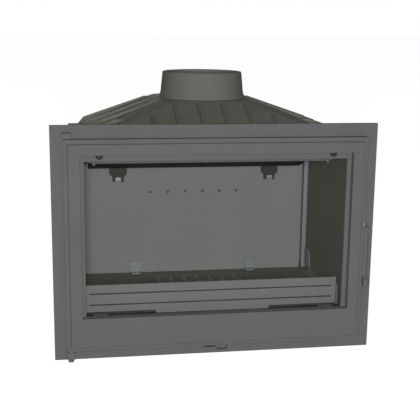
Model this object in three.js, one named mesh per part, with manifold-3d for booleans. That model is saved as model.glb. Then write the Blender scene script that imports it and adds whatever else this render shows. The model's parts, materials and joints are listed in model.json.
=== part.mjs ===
// A cast iron fireplace insert with a flat facade, a glazed door that opens to the left, a ribbed
// hood with a round flue collar, and a lined firebox. Millimetres, +Z up, the front towards -Y.
// The origin is the centre of the base's underside.
import * as THREE from "three";
import { ConvexGeometry } from "three/addons/geometries/ConvexGeometry.js";
import { mergeVertices } from "three/addons/utils/BufferGeometryUtils.js";
import Module from "manifold-3d";

// ---------------------------------------------------------------- driving dimensions
const GAP = 0.3; // seat clearance between separate pieces
const LAP = 1; // how far a cutter runs past a face, or a joined form reaches into its neighbour
const ROUND_STEPS = 16; // flats round a pin
const FINE_STEPS = 24; // flats round a screw head or a scallop
const BORE_STEPS = 12; // flats round a small screw and its bore
const HEX = 6;

// facade
const FACADE_WIDTH = 700;
const FACADE_HEIGHT = 507;
const FACADE_THICKNESS = 10;
const CASING_DEPTH = 400; // facade's back to the rearmost rib
const OPENING_RADIUS = 12;

// door
const DOOR_SIDE_MARGIN = 26; // facade's edge to the door's edge
const DOOR_TOP_MARGIN = 27.3;
const DOOR_BOTTOM_MARGIN = 24.7;
const DOOR_STANDOFF = 2; // facade's front to the door's back
const DOOR_THICKNESS = 26; // door's back to its front face
const DOOR_STEP_DEPTH = 8; // how far the front face stands before the step round it
const DOOR_STEP_WIDTH = 9;
const DOOR_ROUNDING = 4; // round the front face's edge
const DOOR_ROUNDING_MIDDLE = 1.2; // both ways, where the rounding's two flats meet
const DOOR_EDGE_CHAMFER = 5; // rear corner by the hinge, so that it turns clear
const WINDOW_SIDE = 33.6; // door's edge to the window's front edge
const WINDOW_TOP = 31.9;
const WINDOW_BOTTOM = 74.2;
const LEDGE_SETBACK = 18; // front face to the ledge inside the window
const LEDGE_SIDE = 8.6;
const LEDGE_TOP = 15.3;
const SILL_FALL = 2.4; // window's front edge to the glass opening's lower edge
const LIP_DEPTH = 3; // inner lip behind the door's back
const LIP_WIDTH = 11;
const LIP_PAST_SCREW = 6; // screws' centres to the lip's upper and lower edge
const SEAL_LANDING = 26; // door's edge to the facade's opening
const SEAL_WIDTH = 8;
const SEAL_RECESS = 6; // depth of the rope's groove
const SEAL_INSET = 12; // door's edge to the rope's outer side
const GLASS_THICKNESS = 4;
const GLASS_BITE = 6.5; // how far the glass reaches past the window's rear edge
const GASKET_THICKNESS = 1.7;
const GASKET_INSET = 1; // window's rear edge to the gasket
const CLIP_THICKNESS = 3;
const CLIP_WIDTH = 32;
const CLIP_OVERLAP = 8; // on the glass
const CLIP_LENGTH = 13; // beyond the glass
const CLIP_CLEARANCE = 1; // glass's edge to the clip's block
const CLIP_FROM_EDGE = 40.4; // window's side to the clip's centre
const POCKET_RADIUS = 8.2; // round the upper screws' ends, in the ledge
const POCKET_DEPTH = 5;
const SCREW_BELOW_WINDOW = 3; // window's top to the upper screws
const SCREW_END = 2; // upper screw's end before its pocket's floor
const SCREW_TAPPED = 7; // lower screws' depth in the door, from the lip's back
const SCREW_RADIUS = 2.5;
const SMALL_HEAD_RADIUS = 4.2;
const SMALL_HEAD_HEIGHT = 2.4;

// hinges
const HINGE_FROM_EDGE = 8.5; // door's left edge to the hinge axis
const HINGE_FRONT = 10; // facade's front to the hinge axis
const LUG_WIDTH = 18.4;
const LUG_DEPTH = 20;
const UPPER_LUG_HEIGHT = 12.7;
const LOWER_LUG_HEIGHT = 21.7;
const LUG_TAPER = 4.5; // each side of the lower lug's foot
const LUG_TAPER_HEIGHT = 11;
const LUG_EDGE = 2; // bevel round the lug's front
const LUG_ABOVE_DOOR = 0.6; // door's top to the upper lug
const LOWER_STUD_HEIGHT = 12; // facade's foot to the lower lug's stud
const STUD_ROOT = 4; // stud inside the lug
const STUD_END = 3; // stud beyond its nut
const PIN_RADIUS = 3;
const PIN_ENGAGEMENT = 9.5;
const PIN_BELOW_TOP = 0.5; // upper lug's top to the pin's end
const PIN_IN_LOWER_LUG = 13;
const WASHER_RADIUS = 7.5;
const STUD_RADIUS = 3;
const NUT_RADIUS = 5.8;
const NUT_HEIGHT = 5;

// door handle
const HANDLE_WIDTH = 10;
const HANDLE_THICKNESS = 9;
const HANDLE_LENGTH = 136;
const HANDLE_CLEARANCE = 1; // door's right edge to the handle
const HANDLE_EDGE = 2; // bevel along the handle's front
const PIVOT_DEPTH = 6; // the face of the door's step to the handle's pivot
const HANDLE_LOW = 147;
const HANDLE_PIVOT_DROP = 13; // handle's top to its pivot
const GRIP_HEIGHT = 23;
const GRIP_REACH = 12.5;
const GRIP_SHOULDER = 18.4;
const GRIP_NOSE = 16.1;
const TONGUE_HEIGHT = 12;
const TONGUE_BEHIND = 4; // how far the tongue passes the facade's back
const TONGUE_INSET = 1;
const HANDLE_PIN_HEAD = 1.6;
const HANDLE_PIN_OVERHANG = 1;
const HOOK_SLOT_ABOVE = 16; // pivot to the slot's ends
const HOOK_SLOT_BELOW = 27;

// air control
const SLOT_LEFT = -25;
const SLOT_RIGHT = 27;
const SLOT_LOW = 6.8;
const SLOT_HEIGHT = 11;
const TAB_LEFT = -24.5;
const TAB_WIDTH = 26;
const TAB_SLANT = 4; // how far the lower edge runs past the upper one
const TAB_HEIGHT = 6;
const TAB_REACH = 1;
const SLIDER_THICKNESS = 3;
const SLIDER_HALF = 80;
const SLIDER_HEIGHT = 34;
const SLIDER_LOW = 3;
const SLIDER_ROOM = 32; // free length at each end of the slider
const SLIDER_HEADROOM = 2;
const PORT_PITCH = 34;
const PORT_WIDTH = 14;
const PORT_LOW = 22;
const PORT_HEIGHT = 11;
const PORT_SHIFT = 9; // slider's ports against the base's at rest
const PORT_PLACES = [-1.5, -0.5, 0.5, 1.5];

// casing
const WALL = 8;
const LINER = 4;
const BASE_HEIGHT = 50;
const CASING_ABOVE_OPENING = 2;
const RIB_DEPTH = 8;
const RIB_WIDTH = 8;
const RIB_CREST = 4.8;
const RIB_PITCH = 84;
const RIB_FIRST = 62; // facade's back to the first rib
const RIB_PLACES = [0, 1, 2, 3];
const BACK_RIB_PITCH = 110;
const BACK_RIB_PLACES = [-2, -1, 0, 1, 2];
const RAIL_UNDER_PAN = 12; // pan's side to the rail's inner face
const LEDGE_WIDTH = 12;
const LEDGE_HEIGHT = 8;
const EAR_REACH = 24; // the side walls' ears behind the facade
const EAR_THICKNESS = 8;
const EAR_HALF = 15;
const EAR_WEB = 4;
const EAR_WEB_DEPTH = 30;
const EAR_LOW = 120;
const EAR_FROM_TOP = 58; // casing's top to the upper ears
const BOLT_RADIUS = 3;
const BOLT_DEPTH = 6; // in the casting
const BOLT_HEAD_RADIUS = 5.5;
const BOLT_HEAD_HEIGHT = 4;
const HOOD_BOLT_DEPTH = 12;
const BOSS_WALL = 5; // round a hood bolt, inside the side wall
const BOSS_HALF = 8;

// hearth, grate and ash pan
const HEARTH_HEIGHT = 88;
const HEARTH_THICKNESS = 12;
const SILL_DROP = 4.3;
const HEARTH_SETBACK = 6; // facade's back to the hearth's front edge
const CURB_WIDTH = 12.5;
const CURB_HEIGHT = 10;
const GRATE_WIDTH = 239;
const GRATE_DEPTH = 170;
const GRATE_THICKNESS = 6;
const GRATE_LEDGE = 9;
const GRATE_SIDE_GAP = 1.2;
const GRATE_FROM_FIREBACK = 38;
const GRATE_COLUMNS = 7;
const GRATE_ROWS = 9;
const GRATE_COLUMN_PITCH = 32;
const GRATE_ROW_PITCH = 17;
const GRATE_HOLE_RADIUS = 4;
const PAN_WIDTH = 264;
const PAN_HEADROOM = 3.7; // pan's rim to the hearth plate
const PAN_WALL = 2;
const PAN_FRONT = 9; // facade's back to the pan's front
const PAN_DEPTH = 312;
const PAN_GRIP = 60;
const PAN_GRIP_REACH = 5;
const PAN_GRIP_DROP = 9;

// fireback, liners and what holds them
const FIREBACK_SETBACK = 60; // casing's back to the fireback's front
const FIREBACK_THICKNESS = 10;
const FIREBACK_SIDE = 17; // liner to the fireback's edge
const LINER_BELOW_TOP = 18; // casing's top to the liners' top
const AIR_HOLE_RADIUS = 3.5;
const AIR_HOLE_PITCH = 44;
const AIR_HOLE_COUNT = 6;
const AIR_HOLE_HEIGHT = 297;
const POST_WIDTH = 10.7;
const FOOT_CLIP_FROM_EDGE = 133.5; // fireback's edge to the clip's centre
const FOOT_CLIP_WIDTH = 31;
const FOOT_CLIP_STEM = 22;
const FOOT_CLIP_HEIGHT = 27;
const FOOT_CLIP_SHOULDER = 14;
const FOOT_CLIP_FOOT = 18;
const SHEET = 3; // thickness of the small sheet steel clips
const CORNER_CLIP_LENGTH = 47;
const CORNER_CLIP_ABOVE_HEARTH = 9;
const CORNER_CLIP_HEIGHT = 44;
const CORNER_CLIP_CHAMFER = 12;

// log retainer
const RETAINER_SETBACK = 30; // facade's back to the retainer's front
const RETAINER_THICKNESS = 8;
const RETAINER_END = 14; // liner to the retainer's end
const RETAINER_LIFT = 3; // hearth to the retainer's lower edge
const RETAINER_HEIGHT = 61;
const RETAINER_TONGUE_END = 155.7; // retainer's end to the tongue that drops to the sill
const GROOVE_END = 10;
const GROOVE_WIDTH = 3;
const GROOVE_DEPTH = 2;
const GROOVE_HEIGHTS = [16, 41]; // above the retainer's lower edge
const STAND_WIDTH = 8;
const STAND_HEIGHT = 46;
const STAND_FOOT = 26;
const GUSSET_HEIGHT = 27.6;
const CHEEK_FORWARD = 4; // in front of the retainer
const STAND_THICKNESS = 6;

// baffle and air-wash deflector
const BAFFLE_SIDE = 34; // liner to the baffle's edge
const BAFFLE_THICKNESS = 8;
const BAFFLE_FRONT_DROP = 30; // casing's top to the baffle's front underside
const BAFFLE_FALL = 64;
const BAFFLE_DEPTH = 208;
const BAFFLE_REAR_GAP = 12; // fireback to the baffle's rear edge
const BAFFLE_LIP = 22;
const BAFFLE_LIP_HEIGHT = 11;
const HOOK_FROM_EDGE = 73; // baffle's edge to the hook's centre
const HOOK_WIDTH = 43;
const HOOK_HEIGHT = 25;
const HOOK_THICKNESS = 6;
const HOOK_TAPER = 8;
const FORK_WIDTH = 28;
const FORK_HEIGHT = 12;
const PEG_WIDTH = 14;
const PEG_HEIGHT = 8;
const PEG_REACH = 22;
const PEG_IN_FIREBACK = 9;
const REST_WIDTH = 20;
const REST_HEIGHT = 16;
const REST_OVERLAP = 14;
const REST_FROM_FRONT = 10;
const DEFLECTOR_SETBACK = 48; // facade's back to the deflector
const DEFLECTOR_DROP = 40.5; // casing's top to the deflector's lower edge
const DEFLECTOR_CORNER = 38;
const DEFLECTOR_TAB = 4.5;
const DEFLECTOR_TAB_INSET = 5.5;

// hood and flue collar
const HOOD_HEIGHT = 86.5; // casing's top to the hood's flat top
const HOOD_WALL = 7;
const HOOD_FLANGE = 6;
const SKIRT_INSET = 24; // casing's side to the skirt's foot
const SHOULDER_INSET = 37;
const SHOULDER_DROP = 65; // flat top to the side shoulder
const TOP_MARGIN = 6; // collar's flange to the flat top's side edge
const TOP_FRONT = 126; // facade's back to the flat top's front edge
const TOP_BACK = 68; // casing's back to the flat top's rear edge
const FRONT_DROP = 47.8; // flat top to the slope's foot at the front
const REAR_DROP = 44.5;
const REAR_INSET = 15;
const HIP_CHAMFER = 22;
const FIN_BASE = 10;
const FIN_CREST = 5;
const SIDE_FIN_HEIGHT = 10.5; // at the shoulder
const SIDE_FIN_TOP_HEIGHT = 3.4;
const SIDE_FIN_TOP_PLACE = 21; // flat top's edge to where that height is measured
const SIDE_FIN_FOOT = 4;
const SIDE_FIN_LEAN = 2;
const SIDE_FIN_LOW = 8; // flange to the crest's lower end
const FRONT_FIN_PITCH = 53;
const FRONT_FIN_PLACES = [-3.5, -2.5, -1.5, -0.5, 0.5, 1.5, 2.5, 3.5];
const FRONT_FIN_HEIGHT = 9;
const FRONT_FIN_TOP_HEIGHT = 6;
const FIN_MARGIN = 15;
const SIDE_FIN_TOP_MARGIN = 4;
const FRONT_FIN_SHORTEST = 24; // facade's back to the shortest fin's rear end
const FLUE_OFFSET = 24; // casing's centre to the flue's centre
const COLLAR_TOP_RADIUS = 92;
const COLLAR_BASE_RADIUS = 95.5; // where the flare at its foot starts
const COLLAR_FLANGE_RADIUS = 100.5;
const COLLAR_BORE_RADIUS = 85;
const COLLAR_HEIGHT = 59.2;
const COLLAR_FLARE = 20; // height of the flare
const FLARE_STEPS = 4;
const COLLAR_EDGE = 2;
const COLLAR_BEVEL = 1.5;
const COLLAR_SPIGOT_WALL = 5; // of the neck that drops into the hood
const COLLAR_STEPS = 48;
const HOOD_BOLT_INSET = 10; // casing's side to the bolts
const HOOD_BOLT_END = 40; // facade's back, or casing's back, to the bolts

// ---------------------------------------------------------------- planes worked out from them
const Y_FRONT = -CASING_DEPTH / 2; // facade's back face
const Y_BACK = CASING_DEPTH / 2;
const Y_FACE = Y_FRONT - FACADE_THICKNESS; // facade's front face
const DOOR_HALF = FACADE_WIDTH / 2 - DOOR_SIDE_MARGIN;
const DOOR_LOW = DOOR_BOTTOM_MARGIN;
const DOOR_HIGH = FACADE_HEIGHT - DOOR_TOP_MARGIN;
const FIREBOX_HALF = DOOR_HALF - SEAL_LANDING;
const OPENING_LOW = BASE_HEIGHT;
const OPENING_HIGH = DOOR_HIGH - SEAL_LANDING + DOOR_STANDOFF;
const CASING_TOP = OPENING_HIGH + CASING_ABOVE_OPENING;
const SIDE_INNER = FIREBOX_HALF + LINER + GAP;
const CASING_HALF = SIDE_INNER + WALL;
const BACK_OUTER = Y_BACK - RIB_DEPTH;
const BACK_INNER = BACK_OUTER - WALL;
const FIREBACK_Y = Y_BACK - FIREBACK_SETBACK;
const FIREBACK_HALF = FIREBOX_HALF - FIREBACK_SIDE;
const FOOT_CLIP_OFFSET = FIREBACK_HALF - FOOT_CLIP_FROM_EDGE;
const LINER_TOP = CASING_TOP - LINER_BELOW_TOP;
const HEARTH_LOW = HEARTH_HEIGHT - HEARTH_THICKNESS;
const CORNER_CLIP_LOW = HEARTH_HEIGHT + CORNER_CLIP_ABOVE_HEARTH;
const DOOR_BACK = Y_FACE - DOOR_STANDOFF;
const DOOR_FACE = DOOR_BACK - DOOR_THICKNESS;
const STEP_FACE = DOOR_FACE + DOOR_STEP_DEPTH;
const LEDGE_FACE = DOOR_FACE + LEDGE_SETBACK;
const POCKET_FLOOR = LEDGE_FACE + POCKET_DEPTH;
const LIP_BACK = DOOR_BACK + LIP_DEPTH;
const WINDOW_HALF = DOOR_HALF - WINDOW_SIDE;
const WINDOW_LOW = DOOR_LOW + WINDOW_BOTTOM;
const WINDOW_HIGH = DOOR_HIGH - WINDOW_TOP;
const SIGHT_HALF = WINDOW_HALF - LEDGE_SIDE;
const SIGHT_LOW = WINDOW_LOW - SILL_FALL;
const SIGHT_HIGH = WINDOW_HIGH - LEDGE_TOP;
const GLASS_FRONT = LIP_BACK + GAP + GASKET_THICKNESS + GAP;
const GLASS_BACK = GLASS_FRONT + GLASS_THICKNESS;
const GLASS_HALF = SIGHT_HALF + GLASS_BITE;
const GLASS_LOW = SIGHT_LOW - GLASS_BITE;
const GLASS_HIGH = SIGHT_HIGH + GLASS_BITE;
const CLIP_X = WINDOW_HALF - CLIP_FROM_EDGE;
const CLIP_BACK = GLASS_BACK + GAP + CLIP_THICKNESS;
const UPPER_SCREW_Z = WINDOW_HIGH - SCREW_BELOW_WINDOW;
const LOWER_SCREW_Z = GLASS_LOW - CLIP_CLEARANCE - CLIP_LENGTH / 2;
const HINGE_X = -DOOR_HALF + HINGE_FROM_EDGE;
const HINGE_Y = Y_FACE - HINGE_FRONT;
const HANDLE_LEFT = DOOR_HALF + HANDLE_CLEARANCE;
const HANDLE_TOP = HANDLE_LOW + HANDLE_LENGTH;
const PIVOT_Z = HANDLE_TOP - HANDLE_PIVOT_DROP;
const PIVOT_Y = STEP_FACE + PIVOT_DEPTH;
const SLIDER_Y = Y_FRONT + GAP;
const BASE_RECESS = SLIDER_Y + SLIDER_THICKNESS + GAP;
const RETAINER_Y = Y_FRONT + RETAINER_SETBACK;
const RETAINER_BACK = RETAINER_Y + RETAINER_THICKNESS;
const RETAINER_HALF = FIREBOX_HALF - RETAINER_END;
const RETAINER_LOW = HEARTH_HEIGHT + RETAINER_LIFT;
const RETAINER_TONGUE = RETAINER_HALF - RETAINER_TONGUE_END;
const SILL_TOP = HEARTH_HEIGHT - SILL_DROP;
const RAIL_OFFSET = PAN_WIDTH / 2 - RAIL_UNDER_PAN;
const GRATE_BACK = FIREBACK_Y - GRATE_FROM_FIREBACK;
const GRATE_Y = GRATE_BACK - GRATE_DEPTH / 2;
const BAFFLE_BACK = FIREBACK_Y - BAFFLE_REAR_GAP;
const BAFFLE_FRONT = BAFFLE_BACK - BAFFLE_DEPTH;
const BAFFLE_HALF = FIREBOX_HALF - BAFFLE_SIDE;
const HOOK_OFFSET = BAFFLE_HALF - HOOK_FROM_EDGE;
const BAFFLE_FRONT_Z = CASING_TOP - BAFFLE_FRONT_DROP;
const BAFFLE_REAR_Z = BAFFLE_FRONT_Z - BAFFLE_FALL;
const PEG_TOP = BAFFLE_REAR_Z - HOOK_HEIGHT - GAP;
const HOOD_LOW = CASING_TOP + GAP;
const TOP_HALF = COLLAR_FLANGE_RADIUS + TOP_MARGIN;
const SPIGOT_RADIUS = COLLAR_BORE_RADIUS + COLLAR_SPIGOT_WALL;
const HOOD_TOP = CASING_TOP + HOOD_HEIGHT;
const FLANGE_TOP = HOOD_LOW + HOOD_FLANGE;
const SHOULDER_HALF = CASING_HALF - SHOULDER_INSET;
const SHOULDER_Z = HOOD_TOP - SHOULDER_DROP;
const SKIRT_HALF = CASING_HALF - SKIRT_INSET;
const TOP_FRONT_Y = Y_FRONT + TOP_FRONT;
const TOP_BACK_Y = Y_BACK - TOP_BACK;
const SIDE_SLOPE = SHOULDER_DROP / (SHOULDER_HALF - TOP_HALF);
const FRONT_SLOPE = FRONT_DROP / TOP_FRONT;
const REAR_SLOPE = REAR_DROP / (TOP_BACK - REAR_INSET);

// ---------------------------------------------------------------- solids
const wasm = await Module();
wasm.setup();

function solid(geometry) {
  const bare = geometry.clone();
  bare.deleteAttribute("normal");
  bare.deleteAttribute("uv");
  const merged = mergeVertices(bare, 1e-4);
  const mesh = new wasm.Mesh({
    numProp: 3,
    vertProperties: new Float32Array(merged.attributes.position.array),
    triVerts: new Uint32Array(merged.index.array),
  });
  return new wasm.Manifold(mesh);
}

const join = (...parts) => parts.reduce((a, b) => a.add(b));
const cut = (body, ...tools) => tools.reduce((a, b) => a.subtract(b), body);

function span(a, b) {
  return [Math.min(a, b), Math.max(a, b)];
}

// A box between two values on each axis.
function block([x0, x1], [y0, y1], [z0, z1]) {
  const box = new THREE.BoxGeometry(x1 - x0, y1 - y0, z1 - z0);
  return solid(box.translate((x0 + x1) / 2, (y0 + y1) / 2, (z0 + z1) / 2));
}

// A box that is alike on both sides of x = 0.
const wide = (half, ys, zs) => block([-half, half], ys, zs);

function shapeOf(points) {
  return new THREE.Shape(points.map(([u, v]) => new THREE.Vector2(u, v)));
}

function extrude(shape, depth) {
  return new THREE.ExtrudeGeometry(shape, { depth, bevelEnabled: false, curveSegments: 5 });
}

// A profile of (y, z) points run along X.
function alongX(points, [x0, x1]) {
  const turn = new THREE.Matrix4().set(0, 0, 1, x0, 1, 0, 0, 0, 0, 1, 0, 0, 0, 0, 0, 1);
  return solid(extrude(shapeOf(points), x1 - x0).applyMatrix4(turn));
}

// A profile of (x, z) points, or a ready shape, run along Y.
function alongY(profile, [y0, y1]) {
  const shape = Array.isArray(profile) ? shapeOf(profile) : profile;
  return solid(extrude(shape, y1 - y0).rotateX(Math.PI / 2).translate(0, y1, 0));
}

function roundedRect([x0, x1], [z0, z1], r) {
  const shape = new THREE.Shape();
  shape.absarc(x1 - r, z0 + r, r, -Math.PI / 2, 0, false);
  shape.absarc(x1 - r, z1 - r, r, 0, Math.PI / 2, false);
  shape.absarc(x0 + r, z1 - r, r, Math.PI / 2, Math.PI, false);
  shape.absarc(x0 + r, z0 + r, r, Math.PI, Math.PI * 1.5, false);
  return shape;
}

// The smallest convex solid round some points.
function hull(points) {
  return solid(new ConvexGeometry(points.map((p) => new THREE.Vector3(...p))));
}

function rod(radius, steps, length) {
  return new THREE.CylinderGeometry(radius, radius, length, steps);
}

const rodX = (r, [x0, x1], y, z, steps = ROUND_STEPS) =>
  solid(rod(r, steps, x1 - x0).rotateZ(Math.PI / 2).translate((x0 + x1) / 2, y, z));
const rodY = (r, x, [y0, y1], z, steps = ROUND_STEPS) =>
  solid(rod(r, steps, y1 - y0).translate(x, (y0 + y1) / 2, z));
const rodZ = (r, x, y, [z0, z1], steps = ROUND_STEPS) =>
  solid(rod(r, steps, z1 - z0).rotateX(Math.PI / 2).translate(x, y, (z0 + z1) / 2));

// A profile of (radius, height) points turned about the Y axis.
function turned(points, steps) {
  return new THREE.LatheGeometry(points.map(([r, h]) => new THREE.Vector2(r, h)), steps);
}

// ---------------------------------------------------------------- finishes
const CAST = { color: 0x696969, roughness: 0.82, metalness: 0.35 };
const DARK_CAST = { color: 0x3b3c35, roughness: 0.88, metalness: 0.3 };
const ZINC = { color: 0x7b848a, roughness: 0.45, metalness: 0.85 };
const GLASS = { color: 0x2c2a28, roughness: 0.06, metalness: 0, opacity: 0.25, transparent: true };
const ROPE = { color: 0x55544f, roughness: 1, metalness: 0 };
const STEEL = { color: 0x4a4c4e, roughness: 0.55, metalness: 0.7 };

const insert = new THREE.Group();

function piece(name, body, finish) {
  const { vertProperties, triVerts } = body.getMesh();
  const shared = new THREE.BufferGeometry();
  shared.setAttribute("position", new THREE.BufferAttribute(vertProperties, 3));
  shared.setIndex(new THREE.BufferAttribute(triVerts, 1));
  const flat = shared.toNonIndexed();
  flat.computeVertexNormals();
  const mesh = new THREE.Mesh(flat, new THREE.MeshStandardMaterial(finish));
  mesh.name = name;
  insert.add(mesh);
}

const SIDES = [["left", -1], ["right", 1]];

// Bores that run through more than one piece: the hinge studs, the bracket bolts, the hood bolts.
const LUG_STUD_Z = {
  upper: DOOR_HIGH + LUG_ABOVE_DOOR + UPPER_LUG_HEIGHT / 2,
  lower: LOWER_STUD_HEIGHT,
};
const EAR_ZS = { lower: EAR_LOW, upper: CASING_TOP - EAR_FROM_TOP };
const earsOf = ([side, s]) => Object.entries(EAR_ZS).map(([place, z]) => ({ side, s, place, z }));
const EARS = SIDES.flatMap(earsOf);
const EAR_BOLT_X = CASING_HALF + EAR_REACH / 2;
const HOOD_BOLT_X = CASING_HALF - HOOD_BOLT_INSET;
const HOOD_BOLT_YS = [Y_FRONT + HOOD_BOLT_END, BACK_INNER - HOOD_BOLT_END];
const RIB_YS = RIB_PLACES.map((i) => Y_FRONT + RIB_FIRST + i * RIB_PITCH);

// ---------------------------------------------------------------- facade
function facade() {
  const plate = wide(FACADE_WIDTH / 2, [Y_FACE, Y_FRONT], [0, FACADE_HEIGHT]);
  const through = [Y_FACE - LAP, Y_FRONT + LAP];
  const blind = [Y_FRONT - BOLT_DEPTH - GAP, Y_FRONT + LAP];
  const opening = roundedRect([-FIREBOX_HALF, FIREBOX_HALF], [OPENING_LOW, OPENING_HIGH], OPENING_RADIUS);
  const bolts = EARS.map(({ s, z }) => rodY(BOLT_RADIUS + GAP, s * EAR_BOLT_X, blind, z, BORE_STEPS));
  return cut(
    plate,
    alongY(opening, through),
    block([HANDLE_LEFT - GAP, HANDLE_LEFT + HANDLE_WIDTH + GAP], through,
      [PIVOT_Z - HOOK_SLOT_BELOW, PIVOT_Z + HOOK_SLOT_ABOVE]),
    block([SLOT_LEFT, SLOT_RIGHT], through, [SLOT_LOW, SLOT_LOW + SLOT_HEIGHT]),
    rodY(STUD_RADIUS + GAP, HINGE_X, through, LUG_STUD_Z.upper),
    rodY(STUD_RADIUS + GAP, HINGE_X, through, LUG_STUD_Z.lower),
    ...bolts,
  );
}
piece("facade", facade(), CAST);

// ---------------------------------------------------------------- hinges
function hingeLug(zs, studZ, footTaper) {
  const xs = [HINGE_X - LUG_WIDTH / 2, HINGE_X + LUG_WIDTH / 2];
  const back = Y_FACE - GAP;
  const front = Y_FACE - LUG_DEPTH;
  const rows = [
    [back, footTaper, zs[0]],
    [front + LUG_EDGE, footTaper, zs[0]],
    [front, footTaper + LUG_EDGE, zs[0] + LUG_EDGE],
    [back, 0, zs[0] + LUG_TAPER_HEIGHT],
    [front + LUG_EDGE, 0, zs[0] + LUG_TAPER_HEIGHT],
    [front, LUG_EDGE, zs[0] + LUG_TAPER_HEIGHT],
    [front, LUG_EDGE, zs[1] - LUG_EDGE],
    [front + LUG_EDGE, 0, zs[1]],
    [back, 0, zs[1]],
  ];
  const body = hull(rows.flatMap(([y, inset, z]) => [[xs[0] + inset, y, z], [xs[1] - inset, y, z]]));
  const studEnd = Y_FRONT + GAP + NUT_HEIGHT + STUD_END;
  return join(body, rodY(STUD_RADIUS, HINGE_X, [back - STUD_ROOT, studEnd], studZ));
}

const UPPER_LUG_LOW = DOOR_HIGH + LUG_ABOVE_DOOR;
const UPPER_LUG = [UPPER_LUG_LOW, UPPER_LUG_LOW + UPPER_LUG_HEIGHT];
const LOWER_LUG = [GAP, LOWER_LUG_HEIGHT];
const UPPER_PIN = [DOOR_HIGH - PIN_ENGAGEMENT, UPPER_LUG[1] - PIN_BELOW_TOP];
const LOWER_PIN = [LOWER_LUG[1] - PIN_IN_LOWER_LUG, DOOR_LOW + PIN_ENGAGEMENT];
const pinBore = (zs) => rodZ(PIN_RADIUS + GAP, HINGE_X, HINGE_Y, zs);

const upperLug = hingeLug(UPPER_LUG, LUG_STUD_Z.upper, 0);
piece("upper_hinge_bracket", cut(upperLug, pinBore([UPPER_LUG[0] - LAP, UPPER_LUG[1] + LAP])), CAST);
const lowerLug = hingeLug(LOWER_LUG, LUG_STUD_Z.lower, LUG_TAPER);
piece("lower_hinge_bracket", cut(lowerLug, pinBore([LOWER_PIN[0] - GAP, LOWER_LUG[1] + LAP])), CAST);

piece("upper_hinge_pin", rodZ(PIN_RADIUS, HINGE_X, HINGE_Y, UPPER_PIN), STEEL);
piece("lower_hinge_pin", rodZ(PIN_RADIUS, HINGE_X, HINGE_Y, LOWER_PIN), STEEL);

const WASHER = [LOWER_LUG[1] + GAP, DOOR_LOW - GAP];
const washerDisc = rodZ(WASHER_RADIUS, HINGE_X, HINGE_Y, WASHER, FINE_STEPS);
piece("hinge_washer", cut(washerDisc, pinBore([WASHER[0] - LAP, WASHER[1] + LAP])), ZINC);

function hingeNut(z) {
  const ys = [Y_FRONT + GAP, Y_FRONT + GAP + NUT_HEIGHT];
  const bore = rodY(STUD_RADIUS + GAP, HINGE_X, [ys[0] - LAP, ys[1] + LAP], z);
  return cut(rodY(NUT_RADIUS, HINGE_X, ys, z, HEX), bore);
}
for (const [place, z] of Object.entries(LUG_STUD_Z))
  piece(`${place}_hinge_nut`, hingeNut(z), STEEL);

// ---------------------------------------------------------------- door
// The raised front face: upright sides and an edge rounded by two flats.
function doorFront() {
  const half = DOOR_HALF - DOOR_STEP_WIDTH;
  const low = DOOR_LOW + DOOR_STEP_WIDTH;
  const high = DOOR_HIGH - DOOR_STEP_WIDTH;
  const ring = (y, inset) => [-half + inset, half - inset].flatMap((x) =>
    [low + inset, high - inset].map((z) => [x, y, z]));
  return hull([
    ...ring(STEP_FACE + LAP, 0),
    ...ring(DOOR_FACE + DOOR_ROUNDING, 0),
    ...ring(DOOR_FACE + DOOR_ROUNDING_MIDDLE, DOOR_ROUNDING_MIDDLE),
    ...ring(DOOR_FACE, DOOR_ROUNDING),
  ]);
}

function doorFrame() {
  const plate = wide(DOOR_HALF, [STEP_FACE, DOOR_BACK], [DOOR_LOW, DOOR_HIGH]);
  const lip = wide(SIGHT_HALF + LIP_WIDTH, [DOOR_BACK - LAP, LIP_BACK],
    [LOWER_SCREW_Z - LIP_PAST_SCREW, UPPER_SCREW_Z + LIP_PAST_SCREW]);
  const rebate = wide(WINDOW_HALF, [DOOR_FACE - LAP, LEDGE_FACE], [WINDOW_LOW, WINDOW_HIGH]);
  const sight = wide(SIGHT_HALF, [LEDGE_FACE - LAP, LIP_BACK + LAP], [SIGHT_LOW, SIGHT_HIGH]);
  const edge = DOOR_EDGE_CHAMFER;
  const hingeCorner = solid(extrude(shapeOf([
    [-DOOR_HALF - LAP, DOOR_BACK - edge - LAP],
    [-DOOR_HALF + edge + LAP, DOOR_BACK + LAP],
    [-DOOR_HALF - LAP, DOOR_BACK + LAP],
  ]), DOOR_HIGH).translate(0, 0, DOOR_LOW - LAP));
  const tools = [rebate, hingeCorner, sealRing(GAP, [DOOR_BACK - SEAL_RECESS, DOOR_BACK + LAP])];
  tools.push(pinBore([UPPER_PIN[0] - GAP, DOOR_HIGH + LAP]), pinBore([DOOR_LOW - LAP, LOWER_PIN[1] + GAP]));
  tools.push(rodX(PIN_RADIUS + GAP, [DOOR_HALF - PIN_ENGAGEMENT - GAP, DOOR_HALF + LAP], PIVOT_Y, PIVOT_Z));
  for (const [, s] of SIDES) {
    const x = s * CLIP_X;
    tools.push(screwPocket(x));
    tools.push(screwBore(x, [POCKET_FLOOR - LAP, LIP_BACK + LAP], UPPER_SCREW_Z));
    tools.push(screwBore(x, [LIP_BACK - SCREW_TAPPED - GAP, LIP_BACK + LAP], LOWER_SCREW_Z));
  }
  return cut(join(plate, doorFront(), lip), sight, ...tools);
}

// A half-round pocket in the ledge, flat along the window's upper edge.
function screwPocket(x) {
  const ys = [LEDGE_FACE - LAP, POCKET_FLOOR];
  const above = [WINDOW_HIGH, WINDOW_HIGH + POCKET_RADIUS];
  const round = rodY(POCKET_RADIUS, x, ys, UPPER_SCREW_Z, FINE_STEPS);
  return cut(round, wide(WINDOW_HALF, [ys[0] - LAP, ys[1] + LAP], above));
}

function screwBore(x, ys, z) {
  return rodY(SCREW_RADIUS + GAP, x, ys, z, BORE_STEPS);
}

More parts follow.
